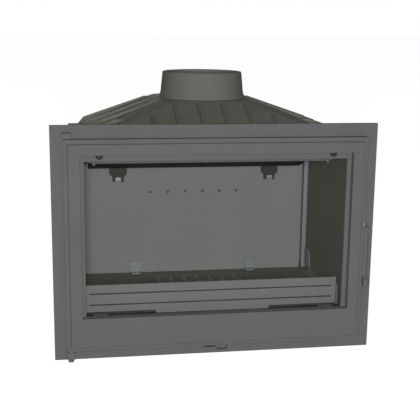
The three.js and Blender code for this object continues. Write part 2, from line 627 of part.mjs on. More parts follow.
// The rope's path round the opening, widened by a clearance on both sides.
function sealRing(clearance, ys) {
  const outer = SEAL_INSET - clearance;
  const inner = SEAL_INSET + SEAL_WIDTH + clearance;
  return cut(
    wide(DOOR_HALF - outer, ys, [DOOR_LOW + outer, DOOR_HIGH - outer]),
    wide(DOOR_HALF - inner, [ys[0] - LAP, ys[1] + LAP], [DOOR_LOW + inner, DOOR_HIGH - inner]),
  );
}
piece("door_frame", doorFrame(), CAST);
piece("door_seal", sealRing(0, [DOOR_BACK - SEAL_RECESS + GAP, Y_FACE - GAP]), ROPE);

piece("door_glass", wide(GLASS_HALF, [GLASS_FRONT, GLASS_BACK], [GLASS_LOW, GLASS_HIGH]), GLASS);
const GASKET_Y = [LIP_BACK + GAP, LIP_BACK + GAP + GASKET_THICKNESS];
piece("glass_gasket", cut(
  wide(GLASS_HALF, GASKET_Y, [GLASS_LOW, GLASS_HIGH]),
  wide(SIGHT_HALF + GASKET_INSET, [GASKET_Y[0] - LAP, GASKET_Y[1] + LAP],
    [SIGHT_LOW - GASKET_INSET, SIGHT_HIGH + GASKET_INSET]),
), ROPE);

// A stepped clip: its block stands on the door's lip and its tongue lies on the glass.
function glassClip(x, edgeZ, up, screwZ) {
  const beyond = edgeZ + up * CLIP_CLEARANCE;
  const end = screwZ + (up * CLIP_LENGTH) / 2;
  const onGlass = edgeZ - up * CLIP_OVERLAP;
  const profile = [
    [LIP_BACK + GAP, beyond], [LIP_BACK + GAP, end], [CLIP_BACK, end],
    [CLIP_BACK, onGlass], [GLASS_BACK + GAP, onGlass], [GLASS_BACK + GAP, beyond],
  ];
  const body = alongX(profile, [x - CLIP_WIDTH / 2, x + CLIP_WIDTH / 2]);
  return cut(body, screwBore(x, [LIP_BACK - LAP, CLIP_BACK + LAP], screwZ));
}
for (const [side, s] of SIDES) {
  piece(`glass_clip_upper_${side}`, glassClip(s * CLIP_X, GLASS_HIGH, 1, UPPER_SCREW_Z), STEEL);
  piece(`glass_clip_lower_${side}`, glassClip(s * CLIP_X, GLASS_LOW, -1, LOWER_SCREW_Z), STEEL);
}

// A screw put in from behind, through the clip.
function clipScrew(x, z, end) {
  const seat = CLIP_BACK + GAP;
  return join(
    rodY(SMALL_HEAD_RADIUS, x, [seat, seat + SMALL_HEAD_HEIGHT], z, FINE_STEPS),
    rodY(SCREW_RADIUS, x, [end, seat + LAP], z, BORE_STEPS),
  );
}
for (const [side, s] of SIDES) {
  const x = s * CLIP_X;
  piece(`glass_screw_upper_${side}`, clipScrew(x, UPPER_SCREW_Z, POCKET_FLOOR - SCREW_END), STEEL);
  piece(`glass_screw_lower_${side}`, clipScrew(x, LOWER_SCREW_Z, LIP_BACK - SCREW_TAPPED), STEEL);
}

// ---------------------------------------------------------------- door handle
function doorHandle() {
  const xs = [HANDLE_LEFT, HANDLE_LEFT + HANDLE_WIDTH];
  const back = PIVOT_Y + HANDLE_THICKNESS / 2;
  const front = back - HANDLE_THICKNESS;
  const edge = HANDLE_EDGE;
  const inner = (x) => (x === xs[0] ? x + edge : x - edge);
  const top = HANDLE_TOP - edge * 2;
  const nose = front - GRIP_REACH;
  const bar = hull(xs.flatMap((x) => [
    [x, back, HANDLE_LOW], [x, back, HANDLE_TOP], [x, back - edge, HANDLE_TOP],
    [inner(x), front, HANDLE_LOW], [x, front + edge, HANDLE_LOW],
    [inner(x), front, top], [x, front + edge, top],
  ]));
  const grip = hull(xs.flatMap((x) => [
    [x, back - LAP, HANDLE_LOW], [x, back - LAP, HANDLE_LOW + GRIP_HEIGHT],
    [x, nose + edge, HANDLE_LOW + edge], [x, nose + edge, HANDLE_LOW + GRIP_SHOULDER],
    [inner(x), nose, HANDLE_LOW + edge], [inner(x), nose, HANDLE_LOW + GRIP_NOSE],
    [x, front, HANDLE_LOW + GRIP_HEIGHT],
  ]));
  const tongue = block(
    [xs[0] + TONGUE_INSET, xs[1] - TONGUE_INSET], [back - LAP, Y_FRONT + TONGUE_BEHIND],
    [PIVOT_Z - TONGUE_HEIGHT / 2, PIVOT_Z + TONGUE_HEIGHT / 2],
  );
  const bore = rodX(PIN_RADIUS + GAP, [xs[0] - LAP, xs[1] + LAP], PIVOT_Y, PIVOT_Z);
  return cut(join(bar, grip, tongue), bore);
}
piece("door_handle", doorHandle(), CAST);

const PIN_END = HANDLE_LEFT + HANDLE_WIDTH + GAP;
piece("handle_pin", join(
  rodX(PIN_RADIUS, [DOOR_HALF - PIN_ENGAGEMENT, PIN_END + LAP], PIVOT_Y, PIVOT_Z),
  rodX(PIN_RADIUS + HANDLE_PIN_OVERHANG, [PIN_END, PIN_END + HANDLE_PIN_HEAD], PIVOT_Y, PIVOT_Z),
), ZINC);

// ---------------------------------------------------------------- air control
const portCuts = (shift, ys) => PORT_PLACES.map((n) => {
  const x = n * PORT_PITCH + shift;
  return block([x - PORT_WIDTH / 2, x + PORT_WIDTH / 2], ys, [PORT_LOW, PORT_LOW + PORT_HEIGHT]);
});

function airSlider() {
  const ys = [SLIDER_Y, SLIDER_Y + SLIDER_THICKNESS];
  const plate = wide(SLIDER_HALF, ys, [SLIDER_LOW, SLIDER_LOW + SLIDER_HEIGHT]);
  const tabZ = [SLOT_LOW + GAP, SLOT_LOW + GAP + TAB_HEIGHT];
  const tabRight = TAB_LEFT + TAB_WIDTH;
  const tab = alongY([
    [TAB_LEFT, tabZ[0]], [tabRight + TAB_SLANT, tabZ[0]], [tabRight, tabZ[1]], [TAB_LEFT, tabZ[1]],
  ], [Y_FACE - TAB_REACH, ys[0] + LAP]);
  return cut(join(plate, tab), ...portCuts(-PORT_SHIFT, [ys[0] - LAP, ys[1] + LAP]));
}
piece("air_slider", airSlider(), CAST);

// ---------------------------------------------------------------- casing
function base() {
  const ys = [Y_FRONT + GAP, Y_BACK];
  const tray = wide(CASING_HALF, ys, [0, BASE_HEIGHT]);
  const inside = [BASE_RECESS + WALL, Y_BACK - WALL];
  const hollow = wide(CASING_HALF - WALL, inside, [WALL, BASE_HEIGHT + LAP]);
  const recessTop = SLIDER_LOW + SLIDER_HEIGHT + SLIDER_HEADROOM;
  const recess = wide(SLIDER_HALF + SLIDER_ROOM, [ys[0] - LAP, BASE_RECESS], [-LAP, recessTop]);
  const ports = portCuts(0, [BASE_RECESS - LAP, BASE_RECESS + WALL + LAP]);
  const railY = [inside[0] - LAP, inside[1] + LAP];
  const rails = SIDES.map(([, s]) =>
    block(span(s * RAIL_OFFSET, s * (RAIL_OFFSET + WALL)), railY, [WALL - LAP, BASE_HEIGHT]));
  return join(cut(tray, hollow, recess, ...ports), ...rails);
}
piece("base", base(), DARK_CAST);

function sideWall(s) {
  const ys = [Y_FRONT + GAP, BACK_INNER - GAP];
  const zs = [BASE_HEIGHT + GAP, CASING_TOP];
  const plate = block(span(s * SIDE_INNER, s * CASING_HALF), ys, zs);
  const ledgeTop = HEARTH_LOW - GAP;
  const ledge = block(
    span(s * (SIDE_INNER - LEDGE_WIDTH), s * (SIDE_INNER + LAP)),
    [Y_FRONT + HEARTH_SETBACK, ys[1]], [ledgeTop - LEDGE_HEIGHT, ledgeTop],
  );
  const ribs = RIB_YS.map((y) => taperRib(s, y, zs));
  const bossX = span(s * (HOOD_BOLT_X - BOLT_RADIUS - BOSS_WALL), s * (SIDE_INNER + LAP));
  const boltZ = [CASING_TOP - HOOD_BOLT_DEPTH - GAP, CASING_TOP + LAP];
  const bossZ = [LINER_TOP + GAP, CASING_TOP];
  const bosses = HOOD_BOLT_YS.map((y) => block(bossX, [y - BOSS_HALF, y + BOSS_HALF], bossZ));
  const bores = HOOD_BOLT_YS.map((y) => rodZ(BOLT_RADIUS + GAP, s * HOOD_BOLT_X, y, boltZ));
  const ears = Object.values(EAR_ZS).map((z) => ear(s, z));
  const earY = [ys[0] - LAP, ys[0] + EAR_THICKNESS + LAP];
  for (const z of Object.values(EAR_ZS))
    bores.push(rodY(BOLT_RADIUS + GAP, s * EAR_BOLT_X, earY, z, BORE_STEPS));
  return cut(join(plate, ledge, ...ribs, ...bosses, ...ears), ...bores);
}

// A webbed ear on a side wall that takes a bolt into the facade's back.
function ear(s, z) {
  const front = Y_FRONT + GAP;
  const near = CASING_HALF - LAP;
  const far = CASING_HALF + EAR_REACH;
  const back = front + EAR_THICKNESS;
  const plate = block(span(s * near, s * far), [front, back], [z - EAR_HALF, z + EAR_HALF]);
  const webs = [z - EAR_HALF, z + EAR_HALF - EAR_WEB].map((low) => hull([low, low + EAR_WEB].flatMap((h) => [
    [s * near, front + LAP, h], [s * far, back, h], [s * near, front + EAR_WEB_DEPTH, h],
  ])));
  return join(plate, ...webs);
}

// A cooling rib on a side wall, narrower at its crest.
function taperRib(s, y, [z0, z1]) {
  const row = (x, w, ends) => ends.flatMap((z) => [[s * x, y - w / 2, z], [s * x, y + w / 2, z]]);
  return hull([
    ...row(CASING_HALF - LAP, RIB_WIDTH, [z0, z1]),
    ...row(CASING_HALF, RIB_WIDTH, [z0, z1]),
    ...row(CASING_HALF + RIB_DEPTH, RIB_CREST, [z0 + RIB_DEPTH, z1 - RIB_DEPTH]),
  ]);
}
for (const [side, s] of SIDES) piece(`${side}_side`, sideWall(s), DARK_CAST);

function backWall() {
  const zs = [BASE_HEIGHT + GAP, CASING_TOP];
  const plate = wide(CASING_HALF, [BACK_INNER, BACK_OUTER], zs);
  const ribs = BACK_RIB_PLACES.map((n) => {
    const x = n * BACK_RIB_PITCH;
    const row = (y, w, ends) => ends.flatMap((z) => [[x - w / 2, y, z], [x + w / 2, y, z]]);
    return hull([
      ...row(BACK_OUTER - LAP, RIB_WIDTH, zs),
      ...row(BACK_OUTER, RIB_WIDTH, zs),
      ...row(Y_BACK, RIB_CREST, [zs[0] + RIB_DEPTH, zs[1] - RIB_DEPTH]),
    ]);
  });
  return join(plate, ...ribs);
}
piece("back_wall", backWall(), DARK_CAST);

// Hexagon-headed bolts that hold the facade to the ears and the hood to the side walls.
function hexBoltY(x, z) {
  const seat = Y_FRONT + GAP + EAR_THICKNESS + GAP;
  return join(
    rodY(BOLT_RADIUS, x, [Y_FRONT - BOLT_DEPTH, seat + LAP], z, BORE_STEPS),
    rodY(BOLT_HEAD_RADIUS, x, [seat, seat + BOLT_HEAD_HEIGHT], z, HEX),
  );
}
function hexBoltZ(x, y) {
  const seat = FLANGE_TOP + GAP;
  return join(
    rodZ(BOLT_RADIUS, x, y, [CASING_TOP - HOOD_BOLT_DEPTH, seat + LAP], BORE_STEPS),
    rodZ(BOLT_HEAD_RADIUS, x, y, [seat, seat + BOLT_HEAD_HEIGHT], HEX),
  );
}

for (const { side, s, place, z } of EARS)
  piece(`facade_bolt_${place}_${side}`, hexBoltY(s * EAR_BOLT_X, z), STEEL);

// ---------------------------------------------------------------- hood
// The dome inside its walls: w is the wall's thickness, 0 for the outer surface.
function dome(w) {
  const low = w ? HOOD_LOW - LAP : HOOD_LOW;
  const across = (half) => half - w;
  const shoulderZ = SHOULDER_Z - w;
  const top = HOOD_TOP - w;
  const right = [
    [across(SKIRT_HALF), low], [across(SKIRT_HALF), FLANGE_TOP - w],
    [across(SHOULDER_HALF), shoulderZ], [TOP_HALF, top],
  ];
  const front = Y_FRONT + GAP + w;
  const rearFoot = BACK_OUTER - w;
  const section = [
    [front, low], [front, HOOD_TOP - FRONT_DROP - w], [TOP_FRONT_Y, top], [TOP_BACK_Y, top],
    [Y_BACK - REAR_INSET - w, HOOD_TOP - REAR_DROP - w], [rearFoot, FLANGE_TOP - w], [rearFoot, low],
  ];
  const outline = right.concat(right.map(([x, z]) => [-x, z]).reverse());
  const roof = alongY(outline, [front, rearFoot]).intersect(alongX(section, [-CASING_HALF, CASING_HALF]));
  return cut(roof, ...hipCutters(w));
}

// A thick slab above each chamfered hip. The hip's line falls equally on both slopes.
function hipCutters(w) {
  const cutters = [];
  for (const [, s] of SIDES)
    for (const [edgeY, toward, slope] of [[TOP_FRONT_Y, -1, FRONT_SLOPE], [TOP_BACK_Y, 1, REAR_SLOPE]]) {
      const a = new THREE.Vector3(s * (TOP_HALF - HIP_CHAMFER), edgeY, HOOD_TOP - w);
      const b = new THREE.Vector3(s * TOP_HALF, edgeY - toward * HIP_CHAMFER, HOOD_TOP - w);
      const fall = new THREE.Vector3(s / SIDE_SLOPE, toward / slope, -1);
      const normal = new THREE.Vector3().subVectors(b, a).cross(fall).normalize();
      if (normal.z < 0) normal.negate();
      const size = CASING_DEPTH * 2;
      const slab = new THREE.BoxGeometry(size, size, CASING_DEPTH / 2).translate(0, 0, CASING_DEPTH / 4);
      slab.applyQuaternion(new THREE.Quaternion().setFromUnitVectors(new THREE.Vector3(0, 0, 1), normal));
      cutters.push(solid(slab.translate(a.x, a.y, a.z)));
    }
  return cutters;
}

// A fin on a side slope: its crest falls with the slope and its upper end is level.
function sideFin(s, y) {
  const overFront = Math.max(0, TOP_FRONT_Y + HIP_CHAMFER - y) * (FRONT_SLOPE / SIDE_SLOPE);
  const overRear = Math.max(0, y - TOP_BACK_Y + HIP_CHAMFER) * (REAR_SLOPE / SIDE_SLOPE);
  const tip = TOP_HALF + Math.max(overFront, overRear) + SIDE_FIN_TOP_MARGIN;
  const surface = (x) => HOOD_TOP - (x - TOP_HALF) * SIDE_SLOPE;
  const shoulderCrest = SHOULDER_Z + SIDE_FIN_HEIGHT;
  const topX = TOP_HALF + SIDE_FIN_TOP_PLACE;
  const rate = (surface(topX) + SIDE_FIN_TOP_HEIGHT - shoulderCrest) / (SHOULDER_HALF - topX);
  const cap = surface(tip);
  const capX = SHOULDER_HALF - (cap - shoulderCrest) / rate;
  const foot = SKIRT_HALF + SIDE_FIN_FOOT;
  const low = [foot - SIDE_FIN_LEAN, FLANGE_TOP + SIDE_FIN_LOW];
  const crest = [low, [SHOULDER_HALF, shoulderCrest], [capX, cap]];
  const root = [[foot, HOOD_LOW + LAP], [foot, FLANGE_TOP], [tip, cap], [tip, cap - HOOD_WALL]];
  return finHull(crest, root, (across, u, z) => [s * u, y + across, z]);
}

function frontFin(x) {
  const overHip = Math.max(0, Math.abs(x) - TOP_HALF + HIP_CHAMFER) * (SIDE_SLOPE / FRONT_SLOPE);
  const front = Y_FRONT + GAP;
  const tip = Math.max(TOP_FRONT_Y - FIN_MARGIN - overHip, Y_FRONT + FRONT_FIN_SHORTEST);
  const surface = (y) => HOOD_TOP - (TOP_FRONT_Y - y) * FRONT_SLOPE;
  const rise = (FRONT_FIN_HEIGHT - FRONT_FIN_TOP_HEIGHT) / (TOP_FRONT_Y - front);
  const cap = surface(tip);
  const capY = front + (cap - surface(front) - FRONT_FIN_HEIGHT) / (FRONT_SLOPE - rise);
  const crest = [[front, surface(front) + FRONT_FIN_HEIGHT], [capY, cap]];
  const root = [[front, HOOD_LOW + LAP], [front, surface(front)], [tip, cap], [tip, cap - HOOD_WALL]];
  return finHull(crest, root, (across, u, z) => [x + across, u, z]);
}

function finHull(crest, root, place) {
  const both = (points, width) =>
    points.flatMap(([u, z]) => [place(-width / 2, u, z), place(width / 2, u, z)]);
  return hull([...both(crest, FIN_CREST), ...both(root, FIN_BASE)]);
}

function hood() {
  const fins = SIDES.flatMap(([, s]) => RIB_YS.map((y) => sideFin(s, y)));
  fins.push(...FRONT_FIN_PLACES.map((n) => frontFin(n * FRONT_FIN_PITCH)));
  const flange = wide(CASING_HALF, [Y_FRONT + GAP, Y_BACK], [HOOD_LOW, FLANGE_TOP]);
  const boreZ = [HOOD_LOW - LAP, FLANGE_TOP + LAP];
  const bores = SIDES.flatMap(([, s]) =>
    HOOD_BOLT_YS.map((y) => rodZ(BOLT_RADIUS + GAP, s * HOOD_BOLT_X, y, boreZ)));
  const flue = rodZ(SPIGOT_RADIUS, 0, FLUE_OFFSET, [HOOD_LOW, HOOD_TOP + LAP], COLLAR_STEPS);
  return cut(join(dome(0), flange, ...fins), dome(HOOD_WALL), flue, ...bores);
}

// The hood is cut upright along its hips and round its flat top. Each of the five plates is simple
// enough for its collision pieces to leave the smoke's way free.
const HOOD_ENDS = [["front", TOP_FRONT_Y, -1, FRONT_SLOPE], ["rear", TOP_BACK_Y, 1, REAR_SLOPE]];
const hoodCorner = (s, edgeY) => [s * TOP_HALF, edgeY];
const hipNormal = (s, toward, slope) => [s / slope, -toward / SIDE_SLOPE];

// What is left of a solid beyond an upright plane through a point, less half a gap.
function beyond(body, [nx, ny], [x, y]) {
  const normal = new THREE.Vector2(nx, ny).normalize();
  return body.trimByPlane([normal.x, normal.y, 0], normal.x * x + normal.y * y + GAP / 2);
}

function hoodTop(whole) {
  let plate = whole;
  for (const [, edgeY, toward] of HOOD_ENDS) plate = beyond(plate, [0, -toward], [0, edgeY]);
  for (const [, s] of SIDES) plate = beyond(plate, [-s, 0], [s * TOP_HALF, 0]);
  return plate;
}

function hoodSide(whole, s) {
  let plate = beyond(whole, [s, 0], [s * TOP_HALF, 0]);
  for (const [, edgeY, toward, slope] of HOOD_ENDS)
    plate = beyond(plate, hipNormal(s, toward, slope), hoodCorner(s, edgeY));
  return plate;
}

function hoodEnd(whole, edgeY, toward, slope) {
  let plate = beyond(whole, [0, toward], [0, edgeY]);
  for (const [, s] of SIDES) {
    const [nx, ny] = hipNormal(s, toward, slope);
    plate = beyond(plate, [-nx, -ny], hoodCorner(s, edgeY));
  }
  return plate;
}

const wholeHood = hood();
piece("hood_top", hoodTop(wholeHood), DARK_CAST);
for (const [side, s] of SIDES) piece(`hood_${side}`, hoodSide(wholeHood, s), DARK_CAST);
for (const [end, edgeY, toward, slope] of HOOD_ENDS)
  piece(`hood_${end}`, hoodEnd(wholeHood, edgeY, toward, slope), DARK_CAST);
for (const [side, s] of SIDES)
  HOOD_BOLT_YS.forEach((y, i) =>
    piece(`hood_bolt_${["front", "rear"][i]}_${side}`, hexBoltZ(s * HOOD_BOLT_X, y), STEEL));

function flueCollar() {
  const seat = HOOD_TOP + GAP;
  const top = seat + COLLAR_HEIGHT;
  const foot = seat - HOOD_WALL + LAP;
  const spigot = SPIGOT_RADIUS - GAP;
  const reach = COLLAR_FLANGE_RADIUS - COLLAR_BASE_RADIUS;
  const radius = (COLLAR_FLARE ** 2 + reach ** 2) / (2 * reach); // of the flare's arc
  const sweep = Math.asin(COLLAR_FLARE / radius);
  const flare = Array.from({ length: FLARE_STEPS + 1 }, (_, i) => {
    const a = sweep * (1 - i / FLARE_STEPS);
    const r = COLLAR_BASE_RADIUS + radius * (1 - Math.cos(a));
    return [r, seat + COLLAR_EDGE + COLLAR_FLARE - radius * Math.sin(a)];
  });
  const ring = turned([
    [COLLAR_BORE_RADIUS, foot], [spigot, foot], [spigot, seat], [COLLAR_FLANGE_RADIUS, seat], ...flare,
    [COLLAR_TOP_RADIUS, top - COLLAR_BEVEL], [COLLAR_TOP_RADIUS - COLLAR_BEVEL, top],
    [COLLAR_BORE_RADIUS, top], [COLLAR_BORE_RADIUS, foot],
  ], COLLAR_STEPS);
  return solid(ring.rotateX(Math.PI / 2).translate(0, FLUE_OFFSET, 0));
}
piece("flue_collar", flueCollar(), DARK_CAST);

// ---------------------------------------------------------------- hearth, grate and ash pan
function hearthPlate() {
  const half = SIDE_INNER - GAP;
  const ys = [Y_FRONT + HEARTH_SETBACK, BACK_INNER - GAP];
  const plate = wide(half, ys, [HEARTH_LOW, HEARTH_HEIGHT]);
  const sill = wide(half + LAP, [ys[0] - LAP, RETAINER_BACK], [SILL_TOP, HEARTH_HEIGHT + LAP]);
  const pocket = grateBlock(GRATE_SIDE_GAP, [HEARTH_HEIGHT - GRATE_THICKNESS - GAP, HEARTH_HEIGHT + LAP]);
  const through = grateBlock(-GRATE_LEDGE, [HEARTH_LOW - LAP, HEARTH_HEIGHT]);
  const outer = FIREBOX_HALF - GAP;
  const curbs = SIDES.map(([, s]) => alongY([
    [s * (outer - CURB_WIDTH), HEARTH_HEIGHT], [s * outer, HEARTH_HEIGHT - LAP],
    [s * outer, HEARTH_HEIGHT + CURB_HEIGHT],
  ], [RETAINER_BACK + STAND_FOOT + 2 * GAP, FIREBACK_Y - CORNER_CLIP_LENGTH - 2 * GAP]));
  return join(cut(plate, sill, pocket, through), ...curbs);
}

function grateBlock(margin, zs) {
  const half = GRATE_WIDTH / 2 + margin;
  return wide(half, [GRATE_Y - GRATE_DEPTH / 2 - margin, GRATE_Y + GRATE_DEPTH / 2 + margin], zs);
}
piece("hearth_plate", hearthPlate(), DARK_CAST);

function grate() {
  const plate = grateBlock(0, [HEARTH_HEIGHT - GRATE_THICKNESS, HEARTH_HEIGHT]);
  const holes = [];
  for (let c = 0; c < GRATE_COLUMNS; c++)
    for (let r = 0; r < GRATE_ROWS; r++) {
      const x = (c - (GRATE_COLUMNS - 1) / 2) * GRATE_COLUMN_PITCH;
      const y = GRATE_Y + (r - (GRATE_ROWS - 1) / 2) * GRATE_ROW_PITCH;
      holes.push(rodZ(GRATE_HOLE_RADIUS, x, y, [HEARTH_LOW, HEARTH_HEIGHT + LAP], 8));
    }
  return cut(plate, ...holes);
}
piece("grate", grate(), DARK_CAST);

function ashPan() {
  const front = Y_FRONT + PAN_FRONT;
  const ys = [front, front + PAN_DEPTH];
  const zs = [BASE_HEIGHT + GAP, HEARTH_LOW - PAN_HEADROOM];
  const tray = wide(PAN_WIDTH / 2, ys, zs);
  const inside = [ys[0] + PAN_WALL, ys[1] - PAN_WALL];
  const hollow = wide(PAN_WIDTH / 2 - PAN_WALL, inside, [zs[0] + PAN_WALL, zs[1] + LAP]);
  const gripFront = front - PAN_GRIP_REACH;
  const lip = wide(PAN_GRIP / 2, [gripFront, front + LAP], [zs[1] - PAN_WALL, zs[1]]);
  const drop = wide(PAN_GRIP / 2, [gripFront, gripFront + PAN_WALL], [zs[1] - PAN_GRIP_DROP, zs[1]]);
  return join(cut(tray, hollow), lip, drop);
}
piece("ash_pan", ashPan(), STEEL);

// ---------------------------------------------------------------- firebox lining
function pegBlock(s, clearance, ys) {
  const half = PEG_WIDTH / 2 + clearance;
  const x = s * HOOK_OFFSET;
  return block([x - half, x + half], ys, [PEG_TOP - PEG_HEIGHT - clearance, PEG_TOP + clearance]);
}

function fireback() {
  const back = FIREBACK_Y + FIREBACK_THICKNESS;
  const through = [FIREBACK_Y - LAP, back + LAP];
  const plate = wide(FIREBACK_HALF, [FIREBACK_Y, back], [HEARTH_HEIGHT + GAP, LINER_TOP]);
  const holes = Array.from({ length: AIR_HOLE_COUNT }, (_, i) => {
    const x = (i - (AIR_HOLE_COUNT - 1) / 2) * AIR_HOLE_PITCH;
    return rodY(AIR_HOLE_RADIUS, x, through, AIR_HOLE_HEIGHT, BORE_STEPS);
  });
  return cut(plate, ...holes, ...SIDES.map(([, s]) => pegBlock(s, GAP, through)));
}
piece("fireback", fireback(), CAST);
const PEG_Y = [FIREBACK_Y - PEG_REACH, FIREBACK_Y + PEG_IN_FIREBACK];

// A T-shaped clip that stands on the hearth and holds the fireback's foot.
function footClip(x) {
  const low = HEARTH_HEIGHT + GAP;
  const high = low + FOOT_CLIP_HEIGHT;
  const half = FOOT_CLIP_WIDTH / 2;
  const stem = FOOT_CLIP_STEM / 2;
  const shoulder = low + FOOT_CLIP_SHOULDER;
  const back = FIREBACK_Y - GAP;
  const face = alongY([
    [x - stem, low], [x + stem, low], [x + stem, shoulder], [x + half, shoulder],
    [x + half, high], [x - half, high], [x - half, shoulder], [x - stem, shoulder],
  ], [back - SHEET, back]);
  return join(face, block([x - stem, x + stem], [back - FOOT_CLIP_FOOT, back], [low, low + SHEET]));
}

function sideLiner(s) {
  const plate = block(span(s * FIREBOX_HALF, s * (FIREBOX_HALF + LINER)),
    [Y_FRONT + HEARTH_SETBACK, FIREBACK_Y + FIREBACK_THICKNESS], [HEARTH_HEIGHT + GAP, LINER_TOP]);
  const y0 = BAFFLE_FRONT + REST_FROM_FRONT;
  const y1 = y0 + REST_WIDTH;
  const seat = (y) => baffleUnder(y) - GAP;
  const rest = alongX([
    [y0, seat(y0) - REST_HEIGHT], [y1, seat(y1) - REST_HEIGHT], [y1, seat(y1)], [y0, seat(y0)],
  ], span(s * (BAFFLE_HALF - REST_OVERLAP), s * (FIREBOX_HALF + LAP)));
  return join(plate, rest);
}

function cornerPost(s) {
  const outer = FIREBOX_HALF - GAP;
  return block(
    span(s * (outer - POST_WIDTH), s * outer),
    [FIREBACK_Y, FIREBACK_Y + FIREBACK_THICKNESS], [HEARTH_HEIGHT + GAP, LINER_TOP],
  );
}

function cornerClip(s) {
  const back = FIREBACK_Y - GAP;
  const front = back - CORNER_CLIP_LENGTH;
  const high = CORNER_CLIP_LOW + CORNER_CLIP_HEIGHT;
  const profile = [
    [front, CORNER_CLIP_LOW], [back, CORNER_CLIP_LOW], [back, high],
    [front + CORNER_CLIP_CHAMFER, high], [front, high - CORNER_CLIP_CHAMFER],
  ];
  return alongX(profile, span(s * (FIREBOX_HALF - GAP - SHEET), s * (FIREBOX_HALF - GAP)));
}

for (const [side, s] of SIDES) {
  piece(`baffle_peg_${side}`, pegBlock(s, 0, PEG_Y), ZINC);
  piece(`fireback_clip_${side}`, footClip(s * FOOT_CLIP_OFFSET), ZINC);
  piece(`${side}_side_liner`, sideLiner(s), DARK_CAST);
  piece(`corner_post_${side}`, cornerPost(s), ZINC);
  piece(`corner_clip_${side}`, cornerClip(s), ZINC);
}

// ---------------------------------------------------------------- log retainer and its stands
function logRetainer() {
  const ys = [RETAINER_Y, RETAINER_BACK];
  const bar = wide(RETAINER_HALF, ys, [RETAINER_LOW, RETAINER_LOW + RETAINER_HEIGHT]);
  const tongue = wide(RETAINER_TONGUE, ys, [SILL_TOP + GAP, RETAINER_LOW + LAP]);
  const grooves = GROOVE_HEIGHTS.map((h) => {
    const low = RETAINER_LOW + h - GROOVE_WIDTH / 2;
    return wide(RETAINER_HALF - GROOVE_END, [ys[0] - LAP, ys[0] + GROOVE_DEPTH], [low, low + GROOVE_WIDTH]);
  });
  return cut(join(bar, tongue), ...grooves);
}
piece("log_retainer", logRetainer(), CAST);

// An upright behind the retainer's end with a cheek beside it and a gusseted foot on the hearth.
function retainerStand(s) {
  const low = HEARTH_HEIGHT + GAP;
  const end = RETAINER_HALF + GAP + SHEET;
  const back = RETAINER_BACK + GAP;
  const high = low + STAND_HEIGHT;
  const edge = span(s * (end - SHEET), s * end);
  const post = span(s * (end - SHEET - STAND_WIDTH), s * end);
  const upright = block(post, [back, back + STAND_THICKNESS], [low, high]);
  const cheek = block(edge, [RETAINER_Y - CHEEK_FORWARD, back + LAP], [low, high]);
  const gusset = alongX([
    [back, low], [back + STAND_FOOT, low], [back + STAND_FOOT, low + SHEET], [back, low + GUSSET_HEIGHT],
  ], edge);
  return join(upright, cheek, gusset);
}
for (const [side, s] of SIDES) piece(`retainer_stand_${side}`, retainerStand(s), DARK_CAST);

// ---------------------------------------------------------------- baffle and deflector
function baffleUnder(y) {
  return BAFFLE_FRONT_Z - ((y - BAFFLE_FRONT) * BAFFLE_FALL) / (BAFFLE_DEPTH - BAFFLE_LIP);
}

function baffle() {
  const lipFront = BAFFLE_BACK - BAFFLE_LIP;
  const plate = alongX([
    [BAFFLE_FRONT, BAFFLE_FRONT_Z], [lipFront, BAFFLE_REAR_Z], [BAFFLE_BACK, BAFFLE_REAR_Z],
    [BAFFLE_BACK, BAFFLE_REAR_Z + BAFFLE_LIP_HEIGHT], [lipFront, BAFFLE_REAR_Z + BAFFLE_LIP_HEIGHT],
    [BAFFLE_FRONT, BAFFLE_FRONT_Z + BAFFLE_THICKNESS],
  ], [-BAFFLE_HALF, BAFFLE_HALF]);
  const hooks = SIDES.map(([, s]) => {
    const x = s * HOOK_OFFSET;
    const web = PEG_TOP + GAP;
    const tine = PEG_WIDTH / 2 + GAP;
    const fork = web - FORK_HEIGHT;
    const half = HOOK_WIDTH / 2;
    return alongY([
      [x - half, BAFFLE_REAR_Z + LAP], [x - half, web + HOOK_TAPER], [x - FORK_WIDTH / 2, web],
      [x - FORK_WIDTH / 2, fork], [x - tine, fork], [x - tine, web],
      [x + tine, web], [x + tine, fork], [x + FORK_WIDTH / 2, fork],
      [x + FORK_WIDTH / 2, web], [x + half, web + HOOK_TAPER], [x + half, BAFFLE_REAR_Z + LAP],
    ], [BAFFLE_BACK - HOOK_THICKNESS, BAFFLE_BACK]);
  });
  return join(plate, ...hooks);
}
piece("baffle", baffle(), DARK_CAST);

function deflector() {
  const ys = [Y_FRONT + DEFLECTOR_SETBACK, Y_FRONT + DEFLECTOR_SETBACK + SHEET];
  const half = SIDE_INNER - GAP;
  const low = CASING_TOP - DEFLECTOR_DROP;
  const high = CASING_TOP - GAP;
  const foot = half - DEFLECTOR_CORNER;
  const strip = alongY([
    [-foot, low], [foot, low], [half, low + DEFLECTOR_CORNER],
    [half, high], [-half, high], [-half, low + DEFLECTOR_CORNER],
  ], ys);
  const tabs = SIDES.map(([, s]) => {
    const x = s * (foot - DEFLECTOR_TAB_INSET);
    return block([x - DEFLECTOR_TAB / 2, x + DEFLECTOR_TAB / 2], ys, [low - DEFLECTOR_TAB, low + LAP]);
  });
  return join(strip, ...tabs);
}
piece("airwash_deflector", deflector(), DARK_CAST);

export default insert;
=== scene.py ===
# %% [markdown]
# # A cast iron fireplace insert
# The insert is a firebox of cast plates behind a flat facade. A glazed door hangs on it at the left,
# and a ribbed hood with a round collar takes the smoke to the flue.
# The frame holds every piece at its real size, with the joints that move it. This script gives the
# pieces their looks: rounded edges, round necks and bores, a braided seal, and a finish for each metal.

# %% Load the frame
import json
import math

import bmesh
import bpy
from mathutils import Matrix, Vector
from mathutils.geometry import intersect_point_line


